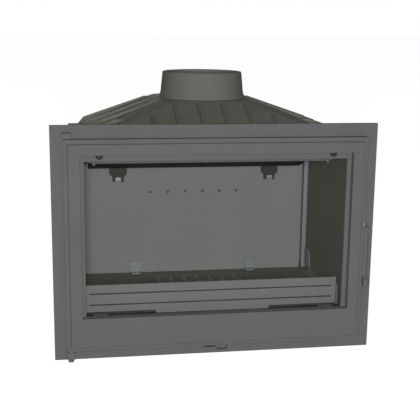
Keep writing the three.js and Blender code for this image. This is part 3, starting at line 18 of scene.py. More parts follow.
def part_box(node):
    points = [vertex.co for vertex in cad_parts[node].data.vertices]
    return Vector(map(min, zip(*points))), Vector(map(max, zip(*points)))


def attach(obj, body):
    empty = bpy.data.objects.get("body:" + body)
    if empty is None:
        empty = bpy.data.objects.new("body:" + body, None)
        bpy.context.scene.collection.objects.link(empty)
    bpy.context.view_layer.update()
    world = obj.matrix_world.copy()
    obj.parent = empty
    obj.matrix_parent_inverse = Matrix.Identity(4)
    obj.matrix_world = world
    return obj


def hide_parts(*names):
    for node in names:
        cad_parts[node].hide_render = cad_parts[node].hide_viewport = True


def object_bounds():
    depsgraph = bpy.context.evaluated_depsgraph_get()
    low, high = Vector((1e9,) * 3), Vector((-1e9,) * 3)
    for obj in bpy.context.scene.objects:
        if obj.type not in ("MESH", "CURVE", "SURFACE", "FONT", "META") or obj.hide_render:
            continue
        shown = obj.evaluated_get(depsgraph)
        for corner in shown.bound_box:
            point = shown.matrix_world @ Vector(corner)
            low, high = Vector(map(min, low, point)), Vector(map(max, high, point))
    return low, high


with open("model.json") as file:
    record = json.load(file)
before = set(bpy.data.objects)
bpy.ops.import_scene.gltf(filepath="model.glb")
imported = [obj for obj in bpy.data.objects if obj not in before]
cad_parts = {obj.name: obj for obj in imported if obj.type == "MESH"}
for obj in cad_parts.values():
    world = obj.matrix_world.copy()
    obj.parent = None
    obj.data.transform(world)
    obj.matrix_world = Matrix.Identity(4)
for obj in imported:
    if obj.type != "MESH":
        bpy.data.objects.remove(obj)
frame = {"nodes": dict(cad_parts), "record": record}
cad_box = [list(corner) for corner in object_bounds()]
bodies = frame["record"]["behaviour"]["bodies"]
body_of_node = {node: body for body, nodes in bodies.items() for node in nodes}
slot_of_node = {part["node"]: part["material_slot"] for part in frame["record"]["subparts"]}
print("nodes:", len(frame["nodes"]), "bodies:", sorted(bodies))

# %% [markdown]
# ## Small tools for materials
# A material is a little graph of nodes. One helper adds a node and fills its inputs, so that each
# finish below reads as a list of what it is made of. A value on an input is a number, a colour, or the
# output of another node.

# %% Helpers for node graphs
NOISE_LOW, NOISE_HIGH = 0.3, 0.7  # nearly all of a noise texture lies between these
COLOUR_RESULT = 2  # a mix node's outputs are a number, a vector and a colour


def add_node(tree, kind, settings=None, **inputs):
    made = tree.nodes.new(kind)
    for name, value in (settings or {}).items():
        setattr(made, name, value)
    for name, value in inputs.items():
        spoken = name.replace("_", " ")
        socket = next(s for s in made.inputs if s.identifier == name or s.name == spoken)
        if isinstance(value, bpy.types.NodeSocket):
            tree.links.new(value, socket)
        else:
            socket.default_value = value
    return made


def new_material(name):
    material = bpy.data.materials.new(name)
    material.use_nodes = True
    material.node_tree.nodes.clear()
    return material, material.node_tree


def calculate(tree, operation, first, second):
    made = add_node(tree, "ShaderNodeMath", {"operation": operation}, Value=first, Value_001=second)
    return made.outputs["Value"]


def noise(tree, scale, detail):
    place = add_node(tree, "ShaderNodeTexCoord")
    made = add_node(tree, "ShaderNodeTexNoise", Vector=place.outputs["Object"], Scale=scale, Detail=detail)
    return made.outputs["Fac"]


def ramp(tree, value, low, high):
    """A noise value, spread over the range from low to high."""
    made = add_node(
        tree, "ShaderNodeMapRange", Value=value,
        From_Min=NOISE_LOW, From_Max=NOISE_HIGH, To_Min=low, To_Max=high,
    )
    return made.outputs["Result"]


def shade(colour, factor):
    return [c * factor for c in colour] + [1.0]


def mix_colours(tree, factor, first, second):
    made = add_node(
        tree, "ShaderNodeMix", {"data_type": "RGBA"},
        Factor_Float=factor, A_Color=first, B_Color=second,
    )
    return made.outputs[COLOUR_RESULT]


def finish_surface(tree, **inputs):
    shader = add_node(tree, "ShaderNodeBsdfPrincipled", **inputs)
    add_node(tree, "ShaderNodeOutputMaterial", Surface=shader.outputs["BSDF"])


print("helpers ready")

# %% [markdown]
# ## Stove paint on sand-cast iron
# The castings leave a sand mould with a skin like fine leather, and get a thin coat of matt stove
# paint. A flat grey would look like plastic. So the colour drifts by a few per cent over a hand's
# width, the roughness varies a little, and two sizes of grain raise the surface: a pebbled skin of
# about a millimetre and a finer tooth. Along the edges, where handling thins the paint, an attribute
# painted on the bevels lets some bare iron show through.

# %% Cast iron material
PATCH_SCALE = 9.0  # colour patches about a hand wide
SHEEN_SCALE = 45.0
RUB_SCALE = 108.0
PEBBLE_SCALE, PEBBLE_HEIGHT = 650.0, 0.0004  # the mould's skin
TOOTH_SCALE, TOOTH_HEIGHT = 2400.0, 0.00015
PAINT_ROUGHNESS = (0.7, 0.86)
PAINT_SHINE = 0.02
BARE_IRON = (0.34, 0.34, 0.335, 1.0)
EDGE_ATTRIBUTE = "bare_edge"


def cast_iron(name, colour, drift, pebble=0.16, edge_wear_and_highlight=0.3):
    material, tree = new_material(name)
    patches = ramp(tree, noise(tree, PATCH_SCALE, 4.0), 0.0, 1.0)
    paint = mix_colours(tree, patches, shade(colour, 1 - drift), shade(colour, 1 + drift))
    edge = add_node(tree, "ShaderNodeAttribute", {"attribute_name": EDGE_ATTRIBUTE})
    # On the bevels the paint turns towards bare iron: wear, and on castings whose edge setting is raised,
    # also a painted highlight.
    rub = ramp(tree, noise(tree, RUB_SCALE, 3.0), 0.0, edge_wear_and_highlight)
    worn_and_highlit = calculate(tree, "MULTIPLY", edge.outputs["Fac"], rub)
    skin = add_node(
        tree, "ShaderNodeBump", Height=noise(tree, PEBBLE_SCALE, 2.0), Strength=pebble,
        Distance=PEBBLE_HEIGHT,
    )
    tooth = add_node(
        tree, "ShaderNodeBump", Height=noise(tree, TOOTH_SCALE, 1.0), Strength=pebble,
        Distance=TOOTH_HEIGHT, Normal=skin.outputs["Normal"],
    )
    finish_surface(
        tree, Base_Color=mix_colours(tree, worn_and_highlit, paint, BARE_IRON),
        Roughness=ramp(tree, noise(tree, SHEEN_SCALE, 3.0), *PAINT_ROUGHNESS),
        Specular_IOR_Level=PAINT_SHINE, Normal=tooth.outputs["Normal"],
    )
    return material


face_iron = cast_iron("stove_paint_face", (0.150, 0.150, 0.150), 0.035)
body_iron = cast_iron("stove_paint_body", (0.150, 0.152, 0.130), 0.05, pebble=0.14)
# The fireback and the log retainer are a lighter grey than the facade: painted light that makes up for the
# shade deep in the firebox. Their edges get a stronger lightening, partly wear and partly a painted
# highlight along them.
firebox_iron_painted_light = cast_iron("firebox_casting_painted_light", (0.188, 0.189, 0.190), 0.03, edge_wear_and_highlight=0.4)
# A near-black iron. The baffle is made in it, and it is the painted shade in the door's screw pockets, in
# the log retainer's grooves and on the hearth's step under the retainer.
dark_iron_and_painted_shade = cast_iron("dark_casting_and_painted_shade", (0.048, 0.048, 0.045), 0.1, edge_wear_and_highlight=0.12)
print("castings:", face_iron.name, body_iron.name, firebox_iron_painted_light.name, dark_iron_and_painted_shade.name)

# %% [markdown]
# ## Zinc plate and blackened steel
# The clips, posts and pegs in the firebox are pressed from zinc-plated sheet: a pale bluish satin metal
# with faint streaks from rolling, so it is part metal in the shader. The bolts, nuts, pins and screws,
# the glass clips and the ash pan are blackened steel, whose oxide skin hides the metal and is nearly
# matt. The streaks come from noise that is stretched along one axis.

# %% Sheet and fastener materials
STREAK_STRETCH = (900.0, 900.0, 40.0)
STREAK_CONTRAST = 0.06
STREAK_ROUGHNESS = 0.06


def satin_metal(name, colour, metallic, roughness, shine):
    material, tree = new_material(name)
    place = add_node(tree, "ShaderNodeTexCoord")
    stretch = add_node(tree, "ShaderNodeMapping", Vector=place.outputs["Object"], Scale=STREAK_STRETCH)
    streaks = add_node(tree, "ShaderNodeTexNoise", Vector=stretch.outputs["Vector"], Scale=1.0, Detail=2.0)
    streak = streaks.outputs["Fac"]
    deep, pale = shade(colour, 1 - STREAK_CONTRAST), shade(colour, 1 + STREAK_CONTRAST)
    finish_surface(
        tree, Base_Color=mix_colours(tree, ramp(tree, streak, 0.0, 1.0), deep, pale),
        Metallic=metallic, Specular_IOR_Level=shine,
        Roughness=ramp(tree, streak, roughness - STREAK_ROUGHNESS, roughness + STREAK_ROUGHNESS),
    )
    return material


zinc = satin_metal("zinc_plate", (0.19, 0.212, 0.225), metallic=0.35, roughness=0.5, shine=0.5)
black_steel = satin_metal("blackened_steel", (0.075, 0.076, 0.078), metallic=0.0, roughness=0.6, shine=0.12)
print("metals:", zinc.name, black_steel.name)

# %% [markdown]
# ## Glass ceramic
# The pane is 4 mm of clear glass ceramic. A true refracting glass would keep the lamp's light out of
# the firebox, because light that bends through a pane is hard to find for the renderer. A see-through
# shader with a thin mirror on top gives the same look: what is behind shows plainly, and the pane
# only shines where it is seen at a slant. The mirror works on the way in alone. On the way out a ray
# that never bent would count as caught in the glass, and the pane would look black.

# %% Glass material
PANE_TINT = (0.992, 0.992, 0.985, 1.0)
PANE_MIRROR = 1.12  # refractive index, lower than real glass so that the shine stays faint
PANE_POLISH = 0.04


def clear_pane(name):
    material, tree = new_material(name)
    through = add_node(tree, "ShaderNodeBsdfTransparent", Color=PANE_TINT)
    shine = add_node(tree, "ShaderNodeBsdfGlossy", Roughness=PANE_POLISH)
    slant = add_node(tree, "ShaderNodeFresnel", IOR=PANE_MIRROR)
    way = add_node(tree, "ShaderNodeNewGeometry")
    entering = calculate(tree, "SUBTRACT", 1.0, way.outputs["Backfacing"])
    both = add_node(
        tree, "ShaderNodeMixShader", Fac=calculate(tree, "MULTIPLY", slant.outputs["Fac"], entering),
        Shader=through.outputs["BSDF"], Shader_001=shine.outputs["BSDF"],
    )
    add_node(tree, "ShaderNodeOutputMaterial", Surface=both.outputs["Shader"])
    return material


pane = clear_pane("glass_ceramic")
print("pane:", pane.name)

# %% [markdown]
# ## Glass-fibre rope
# The seals are a braided glass-fibre rope, pressed into a groove. Two sets of strands cross at an
# angle. On a rope that runs both across and up, one pattern works on every stretch: stripes of x + z
# and of x - z, which cross the rope's own line at the same slant everywhere.

# %% Rope material
STRAND_PITCH = 0.0032
STRAND_HEIGHT = 0.0008
STRAND_SLANTS = (45.0, -45.0)
BAND_LENGTH = 0.314  # of a wave texture at a scale of 1


def fibre_rope(name, colour):
    material, tree = new_material(name)
    place = add_node(tree, "ShaderNodeTexCoord")
    heights = []
    for slant in STRAND_SLANTS:
        mapped = add_node(
            tree, "ShaderNodeMapping", Vector=place.outputs["Object"],
            Rotation=(0.0, math.radians(slant), 0.0),
        )
        wave = add_node(
            tree, "ShaderNodeTexWave", {"wave_type": "BANDS", "bands_direction": "X", "wave_profile": "SIN"},
            Vector=mapped.outputs["Vector"], Scale=BAND_LENGTH / STRAND_PITCH, Distortion=0.6, Detail=1.0,
        )
        heights.append(wave.outputs["Fac"])
    braid = calculate(tree, "MAXIMUM", *heights)
    bump = add_node(tree, "ShaderNodeBump", Height=braid, Strength=0.8, Distance=STRAND_HEIGHT)
    # The dips between the strands are painted darker and the crowns lighter: painted shade and painted
    # highlight on the braid.
    finish_surface(
        tree, Base_Color=mix_colours(tree, braid, shade(colour, 0.6), shade(colour, 1.25)),
        Roughness=0.95, Sheen_Weight=0.3, Normal=bump.outputs["Normal"],
    )
    return material


rope = fibre_rope("glass_fibre_rope", (0.12, 0.118, 0.108))
material_of_slot = {
    "cast_iron_face": face_iron, "cast_iron_body": body_iron, "zinc_steel": zinc,
    "plain_steel": black_steel, "ceramic_glass": pane, "seal_rope": rope,
}
# The fireback and the log retainer take the lighter iron with its painted light, and the baffle the
# near-black iron.
material_of_node = {
    "fireback": firebox_iron_painted_light, "log_retainer": firebox_iron_painted_light,
    "baffle": dark_iron_and_painted_shade, "airwash_deflector": face_iron,
}
print("slots:", sorted(material_of_slot))

# %% [markdown]
# ## From a bare solid to a casting
# A node of the frame is a true solid made of loose triangles, with edges as sharp as a drawing's. A
# casting has its edges broken by a millimetre or so, and those small rounds catch the light. A copy of
# the node is merged, its flat faces are joined again, and every sharp edge is bevelled. The copy then
# stands for the node. The bevels are marked, so that the paint can be worn there.

# %% Helpers for pieces
MERGE = 1e-6
FLAT = math.radians(0.5)
SHARP = math.radians(35)
BEVEL_SEGMENTS = 2


def merged_copy(node):
    bm = bmesh.new()
    bm.from_mesh(frame["nodes"][node].data)
    bmesh.ops.remove_doubles(bm, verts=bm.verts, dist=MERGE)
    bmesh.ops.dissolve_limit(bm, angle_limit=FLAT, verts=bm.verts, edges=bm.edges)
    return bm


def round_edges(bm, width):
    layer = bm.faces.layers.float.new(EDGE_ATTRIBUTE)
    edges = [e for e in bm.edges if len(e.link_faces) == 2 and e.calc_face_angle() > SHARP]
    made = bmesh.ops.bevel(
        bm, geom=edges, offset=width, offset_type="OFFSET", affect="EDGES",
        segments=BEVEL_SEGMENTS, profile=0.5, material=-1, clamp_overlap=True, loop_slide=True,
    )
    for face in made["faces"]:
        face[layer] = 1.0


def keep_in_box(bm):
    """Rounding can leave a point a fraction of a micrometre outside the frame's box."""
    low, high = cad_box
    for vert in bm.verts:
        vert.co = [min(max(place, least), most) for place, least, most in zip(vert.co, low, high)]


def make_piece(bm, name, replaces):
    """The piece rides and is finished as the first node that it replaces."""
    keep_in_box(bm)
    open_edges = sum(1 for e in bm.edges if len(e.link_faces) != 2)
    for face in bm.faces:
        face.smooth = True
    mesh = bpy.data.meshes.new(name)
    bm.to_mesh(mesh)
    bm.free()
    mesh.set_sharp_from_angle(angle=SHARP)
    first = replaces[0]
    slot = slot_of_node[first]
    mesh.materials.append(material_of_node.get(first, material_of_slot[slot]))
    piece = bpy.data.objects.new(name, mesh)
    bpy.context.scene.collection.objects.link(piece)
    normals = piece.modifiers.new("normals", "WEIGHTED_NORMAL")
    normals.keep_sharp = True
    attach(piece, body_of_node[first])
    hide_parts(*replaces)
    if open_edges:
        print(name, "has", open_edges, "open edges")
    return piece


def soften(node, width):
    bm = merged_copy(node)
    round_edges(bm, width)
    make_piece(bm, node + "_finished", [node])


print("merge within", MERGE, "m")

# %% [markdown]
# ## The castings, the sheet parts and the fasteners
# The thick castings get the widest rounds, as a foundry would make them. Thinner plates, sheet parts
# and nuts get smaller ones, and bolts and glass clips the smallest.

# %% Soften castings, sheet parts and fasteners
EDGE_ROUNDS = {
    0.0012: ["facade", "door_frame", "base", "left_side", "right_side", "back_wall", "fireback"],
    0.0009: ["hearth_plate", "baffle", "door_handle", "air_slider", "upper_hinge_bracket",
             "lower_hinge_bracket", "left_side_liner", "right_side_liner"],
    0.0005: ["ash_pan", "airwash_deflector", "retainer_stand_left", "retainer_stand_right",
             "upper_hinge_nut", "lower_hinge_nut",
             "baffle_peg_left", "baffle_peg_right", "fireback_clip_left", "fireback_clip_right",
             "corner_post_left", "corner_post_right", "corner_clip_left", "corner_clip_right"],
    0.0004: sorted(n for n in frame["nodes"] if "bolt" in n or n.startswith("glass_clip")),
}
for width, nodes in EDGE_ROUNDS.items():
    for node in nodes:
        soften(node, width)
print("softened:", sum(len(nodes) for nodes in EDGE_ROUNDS.values()))

# %% [markdown]
# ## Painted shade in the corners
# Two half-round pockets in the door's ledge show the glass screws, and a low step of the hearth lies
# under the log retainer. Both lie in shade, and the shade is painted on: their faces are found by
# where they lie and get the near-black iron.

# %% Darken the pockets and the hearth's step
POCKET_RADIUS = 0.0084
DOOR_LEDGE = 0.018  # front face to the ledge
POCKET_SKIN = (0.0008, 0.0052)  # how far behind the ledge a pocket's faces lie
HEARTH_MARGIN = 0.003  # the step ends this far behind the log retainer
FOOT_MARGIN = 0.001  # leaves the hearth plate's underside out

ledge_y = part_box("door_frame")[0].y + DOOR_LEDGE
pockets = []
for screw in ("glass_screw_upper_left", "glass_screw_upper_right"):
    low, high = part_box(screw)
    pockets.append(((low.x + high.x) / 2, (low.z + high.z) / 2))
hearth_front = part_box("log_retainer")[1].y + HEARTH_MARGIN
hearth_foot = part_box("hearth_plate")[0].z + FOOT_MARGIN


def paint_shade(name, chosen):
    """Give the faces whose middle passes a test the near-black iron, as painted shade."""
    mesh = bpy.data.objects[name].data
    mesh.materials.append(dark_iron_and_painted_shade)
    marked = [polygon for polygon in mesh.polygons if chosen(polygon.center)]
    for polygon in marked:
        polygon.material_index = 1
    print(name, "darkened faces:", len(marked))


def in_pocket(c):
    near = any(math.hypot(c.x - x, c.z - z) < POCKET_RADIUS for x, z in pockets)
    return near and POCKET_SKIN[0] < c.y - ledge_y < POCKET_SKIN[1]


def under_retainer(c):
    return c.y < hearth_front and c.z > hearth_foot


paint_shade("door_frame_finished", in_pocket)
paint_shade("hearth_plate_finished", under_retainer)

# %% [markdown]
# ## The log retainer
# The plate that keeps the logs off the glass is cast with two grooves along its front. The grooves get
# painted shade in the near-black iron, while the face stays grey.

# %% Finish the log retainer
RETAINER_ROUND = 0.0007
GROOVE_SKIN = (0.0009, 0.0025)  # how far behind the front face a groove's faces lie
retainer_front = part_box("log_retainer")[0].y


def in_groove(c):
    return GROOVE_SKIN[0] < c.y - retainer_front < GROOVE_SKIN[1]


soften("log_retainer", RETAINER_ROUND)
paint_shade("log_retainer_finished", in_groove)

# %% [markdown]
# ## The hood
# On the stove the hood is one casting, with fins that stiffen it and shed heat. The frame has it as
# five plates with hairline gaps along the hips and round the flat top. The gap's own faces go and their
# rims are merged across it, so the plates become one casting again.

# %% Find the hood's seams
HOOD_PLATES = ["hood_top", "hood_left", "hood_right", "hood_front", "hood_rear"]


def hood_seams():
    """The upright planes between the plates, each as a point and a normal."""
    low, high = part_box("hood_top")
    half, front, rear = (high.x - low.x) / 2, low.y, high.y
    seams = [(Vector((0, front, 0)), Vector((0, 1, 0))), (Vector((0, rear, 0)), Vector((0, 1, 0)))]
    for side in (-1, 1):
        corner_x = side * half
        seams.append((Vector((corner_x, 0, 0)), Vector((1, 0, 0))))
        for edge_y, plate in ((front, "hood_front"), (rear, "hood_rear")):
            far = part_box(plate)
            reach_x = side * (far[1].x - far[0].x) / 2
            reach_y = far[0].y if plate == "hood_front" else far[1].y
            along = Vector((reach_x - corner_x, reach_y - edge_y, 0))
            seams.append((Vector((corner_x, edge_y, 0)), Vector((along.y, -along.x, 0)).normalized()))
    return seams


print("hood seams:", len(hood_seams()))

# %% [markdown]
# ### The rims of the gaps
# Merging joins points, but where a rim has a point halfway along its partner's edge, a slit stays open.
# So the partner is split there as well, and the new point is moved onto the other. A face whose edges
# are all open is a leftover sliver, so it goes first.

# %% Close the slits
SEAM = 0.0004  # wider than half a gap, narrower than any wall
BETWEEN = (0.001, 0.999)  # shares of an edge that count as between its ends


def close_slits(bm):
    """Where a rim has a point that its partner lacks, the partner is split there and joined to it."""
    loose = [f for f in bm.faces if all(len(e.link_faces) == 1 for e in f.edges)]
    bmesh.ops.delete(bm, geom=loose, context="FACES")
    slits = [e for e in bm.edges if len(e.link_faces) == 1]
    points = list(dict.fromkeys(v for e in slits for v in e.verts))
    for edge in slits:
        start, end = edge.verts
        for point in points:
            nearest, share = intersect_point_line(point.co, start.co, end.co)
            if BETWEEN[0] < share < BETWEEN[1] and (point.co - nearest).length < SEAM:
                middle = bmesh.utils.edge_split(edge, start, share)[1]
                bmesh.ops.weld_verts(bm, targetmap={middle: point})
                break


print("slits close within", SEAM, "m")

# %% [markdown]
# ### One casting
# With both helpers at hand, the five plates are put into one mesh. Their faces along the gaps are
# removed, the rims merge, and what is left over of slits is closed.

# %% Join the hood
HOOD_ROUND = 0.0012
SEAM_REACH = 0.0012  # a gap seen at its slant, where a hip meets the rear edge
PARALLEL = 0.9999  # cosine of the angle between two normals that count as the same


def joined_hood():
    bm = bmesh.new()
    for node in HOOD_PLATES:
        bm.from_mesh(frame["nodes"][node].data)
    bmesh.ops.remove_doubles(bm, verts=bm.verts, dist=MERGE)
    seams = hood_seams()

    def on(point, seam):
        return abs((point - seam[0]).dot(seam[1])) < SEAM

    inner = [f for f in bm.faces for s in seams
             if abs(f.normal.dot(s[1])) > PARALLEL and all(on(v.co, s) for v in f.verts)]
    bmesh.ops.delete(bm, geom=list(dict.fromkeys(inner)), context="FACES")
    rims = [v for v in bm.verts if any(len(e.link_faces) == 1 for e in v.link_edges)]
    bmesh.ops.remove_doubles(bm, verts=rims, dist=SEAM_REACH)
    close_slits(bm)
    bmesh.ops.dissolve_degenerate(bm, dist=MERGE, edges=bm.edges)
    bmesh.ops.dissolve_limit(bm, angle_limit=FLAT, verts=bm.verts, edges=bm.edges)
    return bm


hood_mesh = joined_hood()
print("hood open edges:", sum(1 for e in hood_mesh.edges if len(e.link_faces) != 2))
round_edges(hood_mesh, HOOD_ROUND)
make_piece(hood_mesh, "hood_casting", HOOD_PLATES)

# %% [markdown]
# ## The flue collar
# The collar is turned round its own axis, so a spin of its outline makes it: a foot that flares out onto
# the hood, a slightly tapered neck and a rounded rim. The frame's box gives its centre, its top and its
# foot's radius.

# %% Turn the collar
ROUND_STEPS = 128
COLLAR_BORE, COLLAR_SPIGOT = 0.085, 0.0897  # radii inside, and outside where it enters the hood
COLLAR_NECK_FOOT, COLLAR_NECK_TOP = 0.0955, 0.092  # radii of the neck
COLLAR_FLANGE_EDGE = 0.002  # height of the foot's edge
COLLAR_FLARE, FLARE_STEPS = 0.020, 10  # height of the flare
COLLAR_RIM, RIM_STEPS = 0.0022, 6  # rounding of the rim
COLLAR_HEIGHT = 0.0592  # from its seat on the hood to the rim


def arc(centre, radius, start, end, steps):
    """Points (r, z) on an arc, with the angles in degrees."""
    turns = [math.radians(start + (end - start) * i / steps) for i in range(steps + 1)]
    return [(centre[0] + radius * math.cos(a), centre[1] + radius * math.sin(a)) for a in turns]


def put_in_order(elements, place):
    """A spin makes its faces in a different order in each run, so they are sorted by their place."""
    for index, element in enumerate(sorted(elements, key=place)):
        element.index = index
    elements.sort()


def turned(outline, centre, axis, steps, hollow=True):
    """An outline of points in space, spun round an axis.

    A hollow one is closed, and a full one starts and ends on the axis.
    """
    bm = bmesh.new()
    verts = [bm.verts.new(point) for point in outline]
    following = verts[1:] + verts[:1] if hollow else verts[1:]
    edges = [bm.edges.new((a, b)) for a, b in zip(verts, following)]
    bmesh.ops.spin(
        bm, geom=verts + edges, cent=centre, axis=axis, dvec=(0, 0, 0),
        angle=2 * math.pi, steps=steps, use_merge=True,
    )
    bmesh.ops.remove_doubles(bm, verts=bm.verts, dist=MERGE)
    bmesh.ops.recalc_face_normals(bm, faces=bm.faces)
    put_in_order(bm.verts, lambda vert: vert.co[:])
    put_in_order(bm.faces, lambda face: face.calc_center_median()[:])
    return bm


def flue_collar():
    low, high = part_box("flue_collar")
    x, y = (low.x + high.x) / 2, (low.y + high.y) / 2
    flange = (high.x - low.x) / 2
    seat = high.z - COLLAR_HEIGHT
    flare_top = seat + COLLAR_FLANGE_EDGE + COLLAR_FLARE
    rim_z = high.z - COLLAR_RIM
    outline = [(COLLAR_BORE, low.z), (COLLAR_SPIGOT, low.z), (COLLAR_SPIGOT, seat), (flange, seat)]
    reach = flange - COLLAR_NECK_FOOT
    radius = (COLLAR_FLARE ** 2 + reach ** 2) / (2 * reach)
    sweep = math.degrees(math.asin(COLLAR_FLARE / radius))
    outline += arc((COLLAR_NECK_FOOT + radius, flare_top), radius, 180 + sweep, 180, FLARE_STEPS)
    outline += arc((COLLAR_NECK_TOP - COLLAR_RIM, rim_z), COLLAR_RIM, 0, 90, RIM_STEPS)
    outline += arc((COLLAR_BORE + COLLAR_RIM, rim_z), COLLAR_RIM, 90, 180, RIM_STEPS)
    points = [(x + r, y, z) for r, z in outline]
    return turned(points, (x, y, 0), (0, 0, 1), ROUND_STEPS)


collar = make_piece(flue_collar(), "flue_collar_turned", ["flue_collar"])
print("collar:", len(collar.data.polygons), "faces")

# %% [markdown]
# ## The pane, its gasket and the door's seal
# The pane is a plate with ground edges and the gasket a flat ring. The seal behind the door frame is a
# rope with well rounded edges. All three keep their sizes, so a softened copy is all that they need.

# %% Glass, gasket and seal
PANE_ROUND, GASKET_ROUND, SEAL_ROUND = 0.0006, 0.0004, 0.0016
soften("door_glass", PANE_ROUND)
soften("glass_gasket", GASKET_ROUND)
soften("door_seal", SEAL_ROUND)

# %% [markdown]
# ## Pins, screws and the washer
# These parts are turned on a lathe, so each is an outline spun round its own axis. An outline lists the
# radius at every step along the axis, with a small chamfer wherever the tool breaks a corner.

# %% Outlines of round parts
CHAMFER = 0.0004


def rod(start, end, radius):
    """A rod from start to end along its axis, chamfered at both ends."""
    c = math.copysign(CHAMFER, end - start)
    return [(start, 0), (start, radius - CHAMFER), (start + c, radius), (end - c, radius),
            (end, radius - CHAMFER), (end, 0)]


def headed_rod(start, end, radius, head):
    """A rod whose last part is a wider head."""
    c = math.copysign(CHAMFER, end - start)
    under = end - math.copysign(head[1], end - start)
    return [(start, 0), (start, radius - CHAMFER), (start + c, radius), (under, radius), (under, head[0]),
            (end - c, head[0]), (end, head[0] - CHAMFER), (end, 0)]


def ring(start, end, inner, outer):
    """A flat ring, chamfered along its outer edges."""
    return [(start, inner), (start, outer - CHAMFER), (start + CHAMFER, outer),
            (end - CHAMFER, outer), (end, outer - CHAMFER), (end, inner)]


print("chamfer:", CHAMFER, "m")

# %% Turn the small round parts
SMALL_STEPS = 48
AXES = {"x": 0, "y": 1, "z": 2}
PIN = 0.003  # radius
PIN_HEAD = (0.004, 0.0016)  # radius and height
SCREW = 0.0025
SCREW_HEAD = (0.0042, 0.0024)
WASHER = (0.0033, 0.0075)  # inner and outer radius


def turn_part(node, axis, outline):
    """Spin an outline of (place along the axis, radius) round the middle of the node's box."""
    low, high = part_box(node)
    middle = (low + high) / 2
    main = AXES[axis]
    aside = (main + 1) % 3
    profile = outline(low[main], high[main])
    points = []
    for place, radius in profile:
        point = middle.copy()
        point[main] = place
        point[aside] += radius
        points.append(point)
    direction = [0.0, 0.0, 0.0]
    direction[main] = 1.0
    bm = turned(points, middle, direction, SMALL_STEPS, hollow=profile[0][1] > 0)
    make_piece(bm, node + "_turned", [node])


for pin in ("upper_hinge_pin", "lower_hinge_pin"):
    turn_part(pin, "z", lambda low, high: rod(low, high, PIN))
turn_part("handle_pin", "x", lambda low, high: headed_rod(low, high, PIN, PIN_HEAD))
turn_part("hinge_washer", "z", lambda low, high: ring(low, high, *WASHER))
for screw in sorted(n for n in frame["nodes"] if n.startswith("glass_screw")):
    turn_part(screw, "y", lambda low, high: headed_rod(low, high, SCREW, SCREW_HEAD))

# %% [markdown]
# ## The grate
# The grate is a cast plate with rows of round ash holes. Its edges get a small round and the holes stay
# crisp, as they do when such a plate is cleaned out every day.

# %% Soften the grate
GRATE_ROUND = 0.0005
soften("grate", GRATE_ROUND)

# %% [markdown]
# ## The background and the floor
# The insert stands on a plain pale floor. Rays from the camera see the floor and the background as
# white, and the object only gets a quiet, even sky light from them.

# %% Sky and floor
WHITE = (1.0, 1.0, 1.0, 1.0)
SKY = 0.14
FLOOR_HALF = 40.0
FLOOR_DROP = 0.0005  # keeps the floor just clear of the base
FLOOR_GLOW = 0.9
FLOOR_PAINT = (0.4, 0.4, 0.4, 1.0)


def camera_sees(tree):
    """1 for rays that come from the camera or a mirror, 0 for light that falls on the object."""
    path = add_node(tree, "ShaderNodeLightPath")
    return calculate(tree, "MAXIMUM", path.outputs["Is Camera Ray"], path.outputs["Is Glossy Ray"])


def make_sky():
    world = bpy.data.worlds.new("studio")
    bpy.context.scene.world = world
    world.use_nodes = True
    tree = world.node_tree
    tree.nodes.clear()
    strength = add_node(tree, "ShaderNodeMapRange", Value=camera_sees(tree), To_Min=SKY, To_Max=1.0)
    sky = add_node(tree, "ShaderNodeBackground", Color=WHITE, Strength=strength.outputs["Result"])
    add_node(tree, "ShaderNodeOutputWorld", Surface=sky.outputs["Background"])


def make_floor():
    bm = bmesh.new()
    bmesh.ops.create_grid(bm, x_segments=1, y_segments=1, size=FLOOR_HALF)
    mesh = bpy.data.meshes.new("floor")
    bm.to_mesh(mesh)
    bm.free()
    floor = bpy.data.objects.new("floor", mesh)
    floor.location.z = -FLOOR_DROP
    bpy.context.scene.collection.objects.link(floor)
    material, tree = new_material("floor_white")
    matt = add_node(tree, "ShaderNodeBsdfDiffuse", Color=FLOOR_PAINT)
    lit = calculate(tree, "MULTIPLY", camera_sees(tree), FLOOR_GLOW)
    glow = add_node(tree, "ShaderNodeEmission", Color=WHITE, Strength=lit)
    both = add_node(
        tree, "ShaderNodeAddShader", Shader=matt.outputs["BSDF"], Shader_001=glow.outputs["Emission"],
    )
    add_node(tree, "ShaderNodeOutputMaterial", Surface=both.outputs["Shader"])
    mesh.materials.append(material)


make_sky()
make_floor()
print("floor half size:", FLOOR_HALF, "m")

# %% [markdown]
# ## The lamps
# The main lamp is a soft point at the camera's own place, so faces that look at the viewer are the
# brightest and the tops and the inner walls fall off. Its light doesn't weaken with distance, which
# keeps the fireback as bright as the facade. One weak sun from behind lifts the rear slopes.

# %% Lamps
CAMERA_PLACE = Vector((-0.31895, -2.01695, 0.72139))
KEY_POWER, KEY_RADIUS = 30.8, 0.12
BACK_LIGHT = {"azimuth": 180.0, "elevation": 4.0, "strength": 1.2, "spread": 25.0}


def make_sun(name, azimuth, elevation, strength, spread):
    """Azimuth 0 shines from the front and 90 from the right, in degrees."""
    lamp = bpy.data.lights.new(name, "SUN")
    lamp.energy = strength
    lamp.angle = math.radians(spread)
    sun = bpy.data.objects.new(name, lamp)
    bpy.context.scene.collection.objects.link(sun)
    a, e = math.radians(azimuth), math.radians(elevation)
    towards = Vector((math.sin(a) * math.cos(e), -math.cos(a) * math.cos(e), math.sin(e)))
    sun.rotation_euler = towards.to_track_quat("Z", "Y").to_euler()


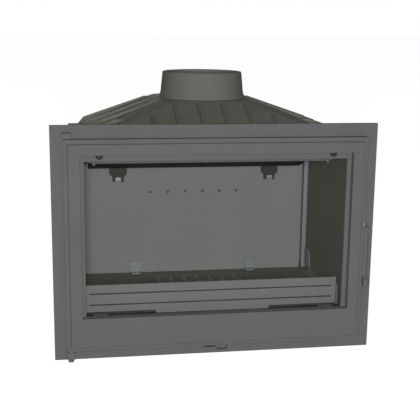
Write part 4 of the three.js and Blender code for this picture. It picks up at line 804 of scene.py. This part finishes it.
def make_key():
    """A soft lamp by the camera that is as strong on the fireback as on the facade."""
    lamp = bpy.data.lights.new("key", "POINT")
    lamp.energy = KEY_POWER
    lamp.shadow_soft_size = KEY_RADIUS
    lamp.use_nodes = True
    tree = lamp.node_tree
    tree.nodes.clear()
    falloff = add_node(tree, "ShaderNodeLightFalloff", Strength=1.0)
    glow = add_node(tree, "ShaderNodeEmission", Strength=falloff.outputs["Constant"])
    add_node(tree, "ShaderNodeOutputLight", Surface=glow.outputs["Emission"])
    key = bpy.data.objects.new("key", lamp)
    bpy.context.scene.collection.objects.link(key)
    key.location = CAMERA_PLACE


make_key()
make_sun("back_light", **BACK_LIGHT)
print("lamps:", sorted(lamp.name for lamp in bpy.data.lights))

# %% [markdown]
# ## The camera
# The camera was solved from the four corners of the facade in the photo. It stands left of the insert's
# middle and above it, and looks down and to the right. Three turns set it: yaw to the right, pitch
# down, and a slight roll.

# %% Camera
CAMERA_YAW, CAMERA_PITCH, CAMERA_ROLL = 9.52, 12.25, 0.73
CAMERA_LENS, SENSOR_WIDTH = 75.18, 36.0  # in mm


def make_camera():
    data = bpy.data.cameras.new("camera")
    data.lens = CAMERA_LENS
    data.sensor_width = SENSOR_WIDTH
    camera = bpy.data.objects.new("camera", data)
    bpy.context.scene.collection.objects.link(camera)
    bpy.context.scene.camera = camera
    yaw, pitch, roll = (math.radians(a) for a in (CAMERA_YAW, CAMERA_PITCH, CAMERA_ROLL))
    forward = Vector((math.sin(yaw) * math.cos(pitch), math.cos(yaw) * math.cos(pitch), -math.sin(pitch)))
    right = Vector((math.cos(yaw), -math.sin(yaw), 0.0))
    up = right.cross(forward)
    tilted_right = right * math.cos(roll) + up * math.sin(roll)
    tilted_up = up * math.cos(roll) - right * math.sin(roll)
    turn = Matrix((tilted_right, tilted_up, -forward)).transposed()
    camera.matrix_world = Matrix.Translation(CAMERA_PLACE) @ turn.to_4x4()


make_camera()
bpy.context.scene.view_settings.view_transform = "Standard"
print("camera at", [round(v, 3) for v in CAMERA_PLACE])
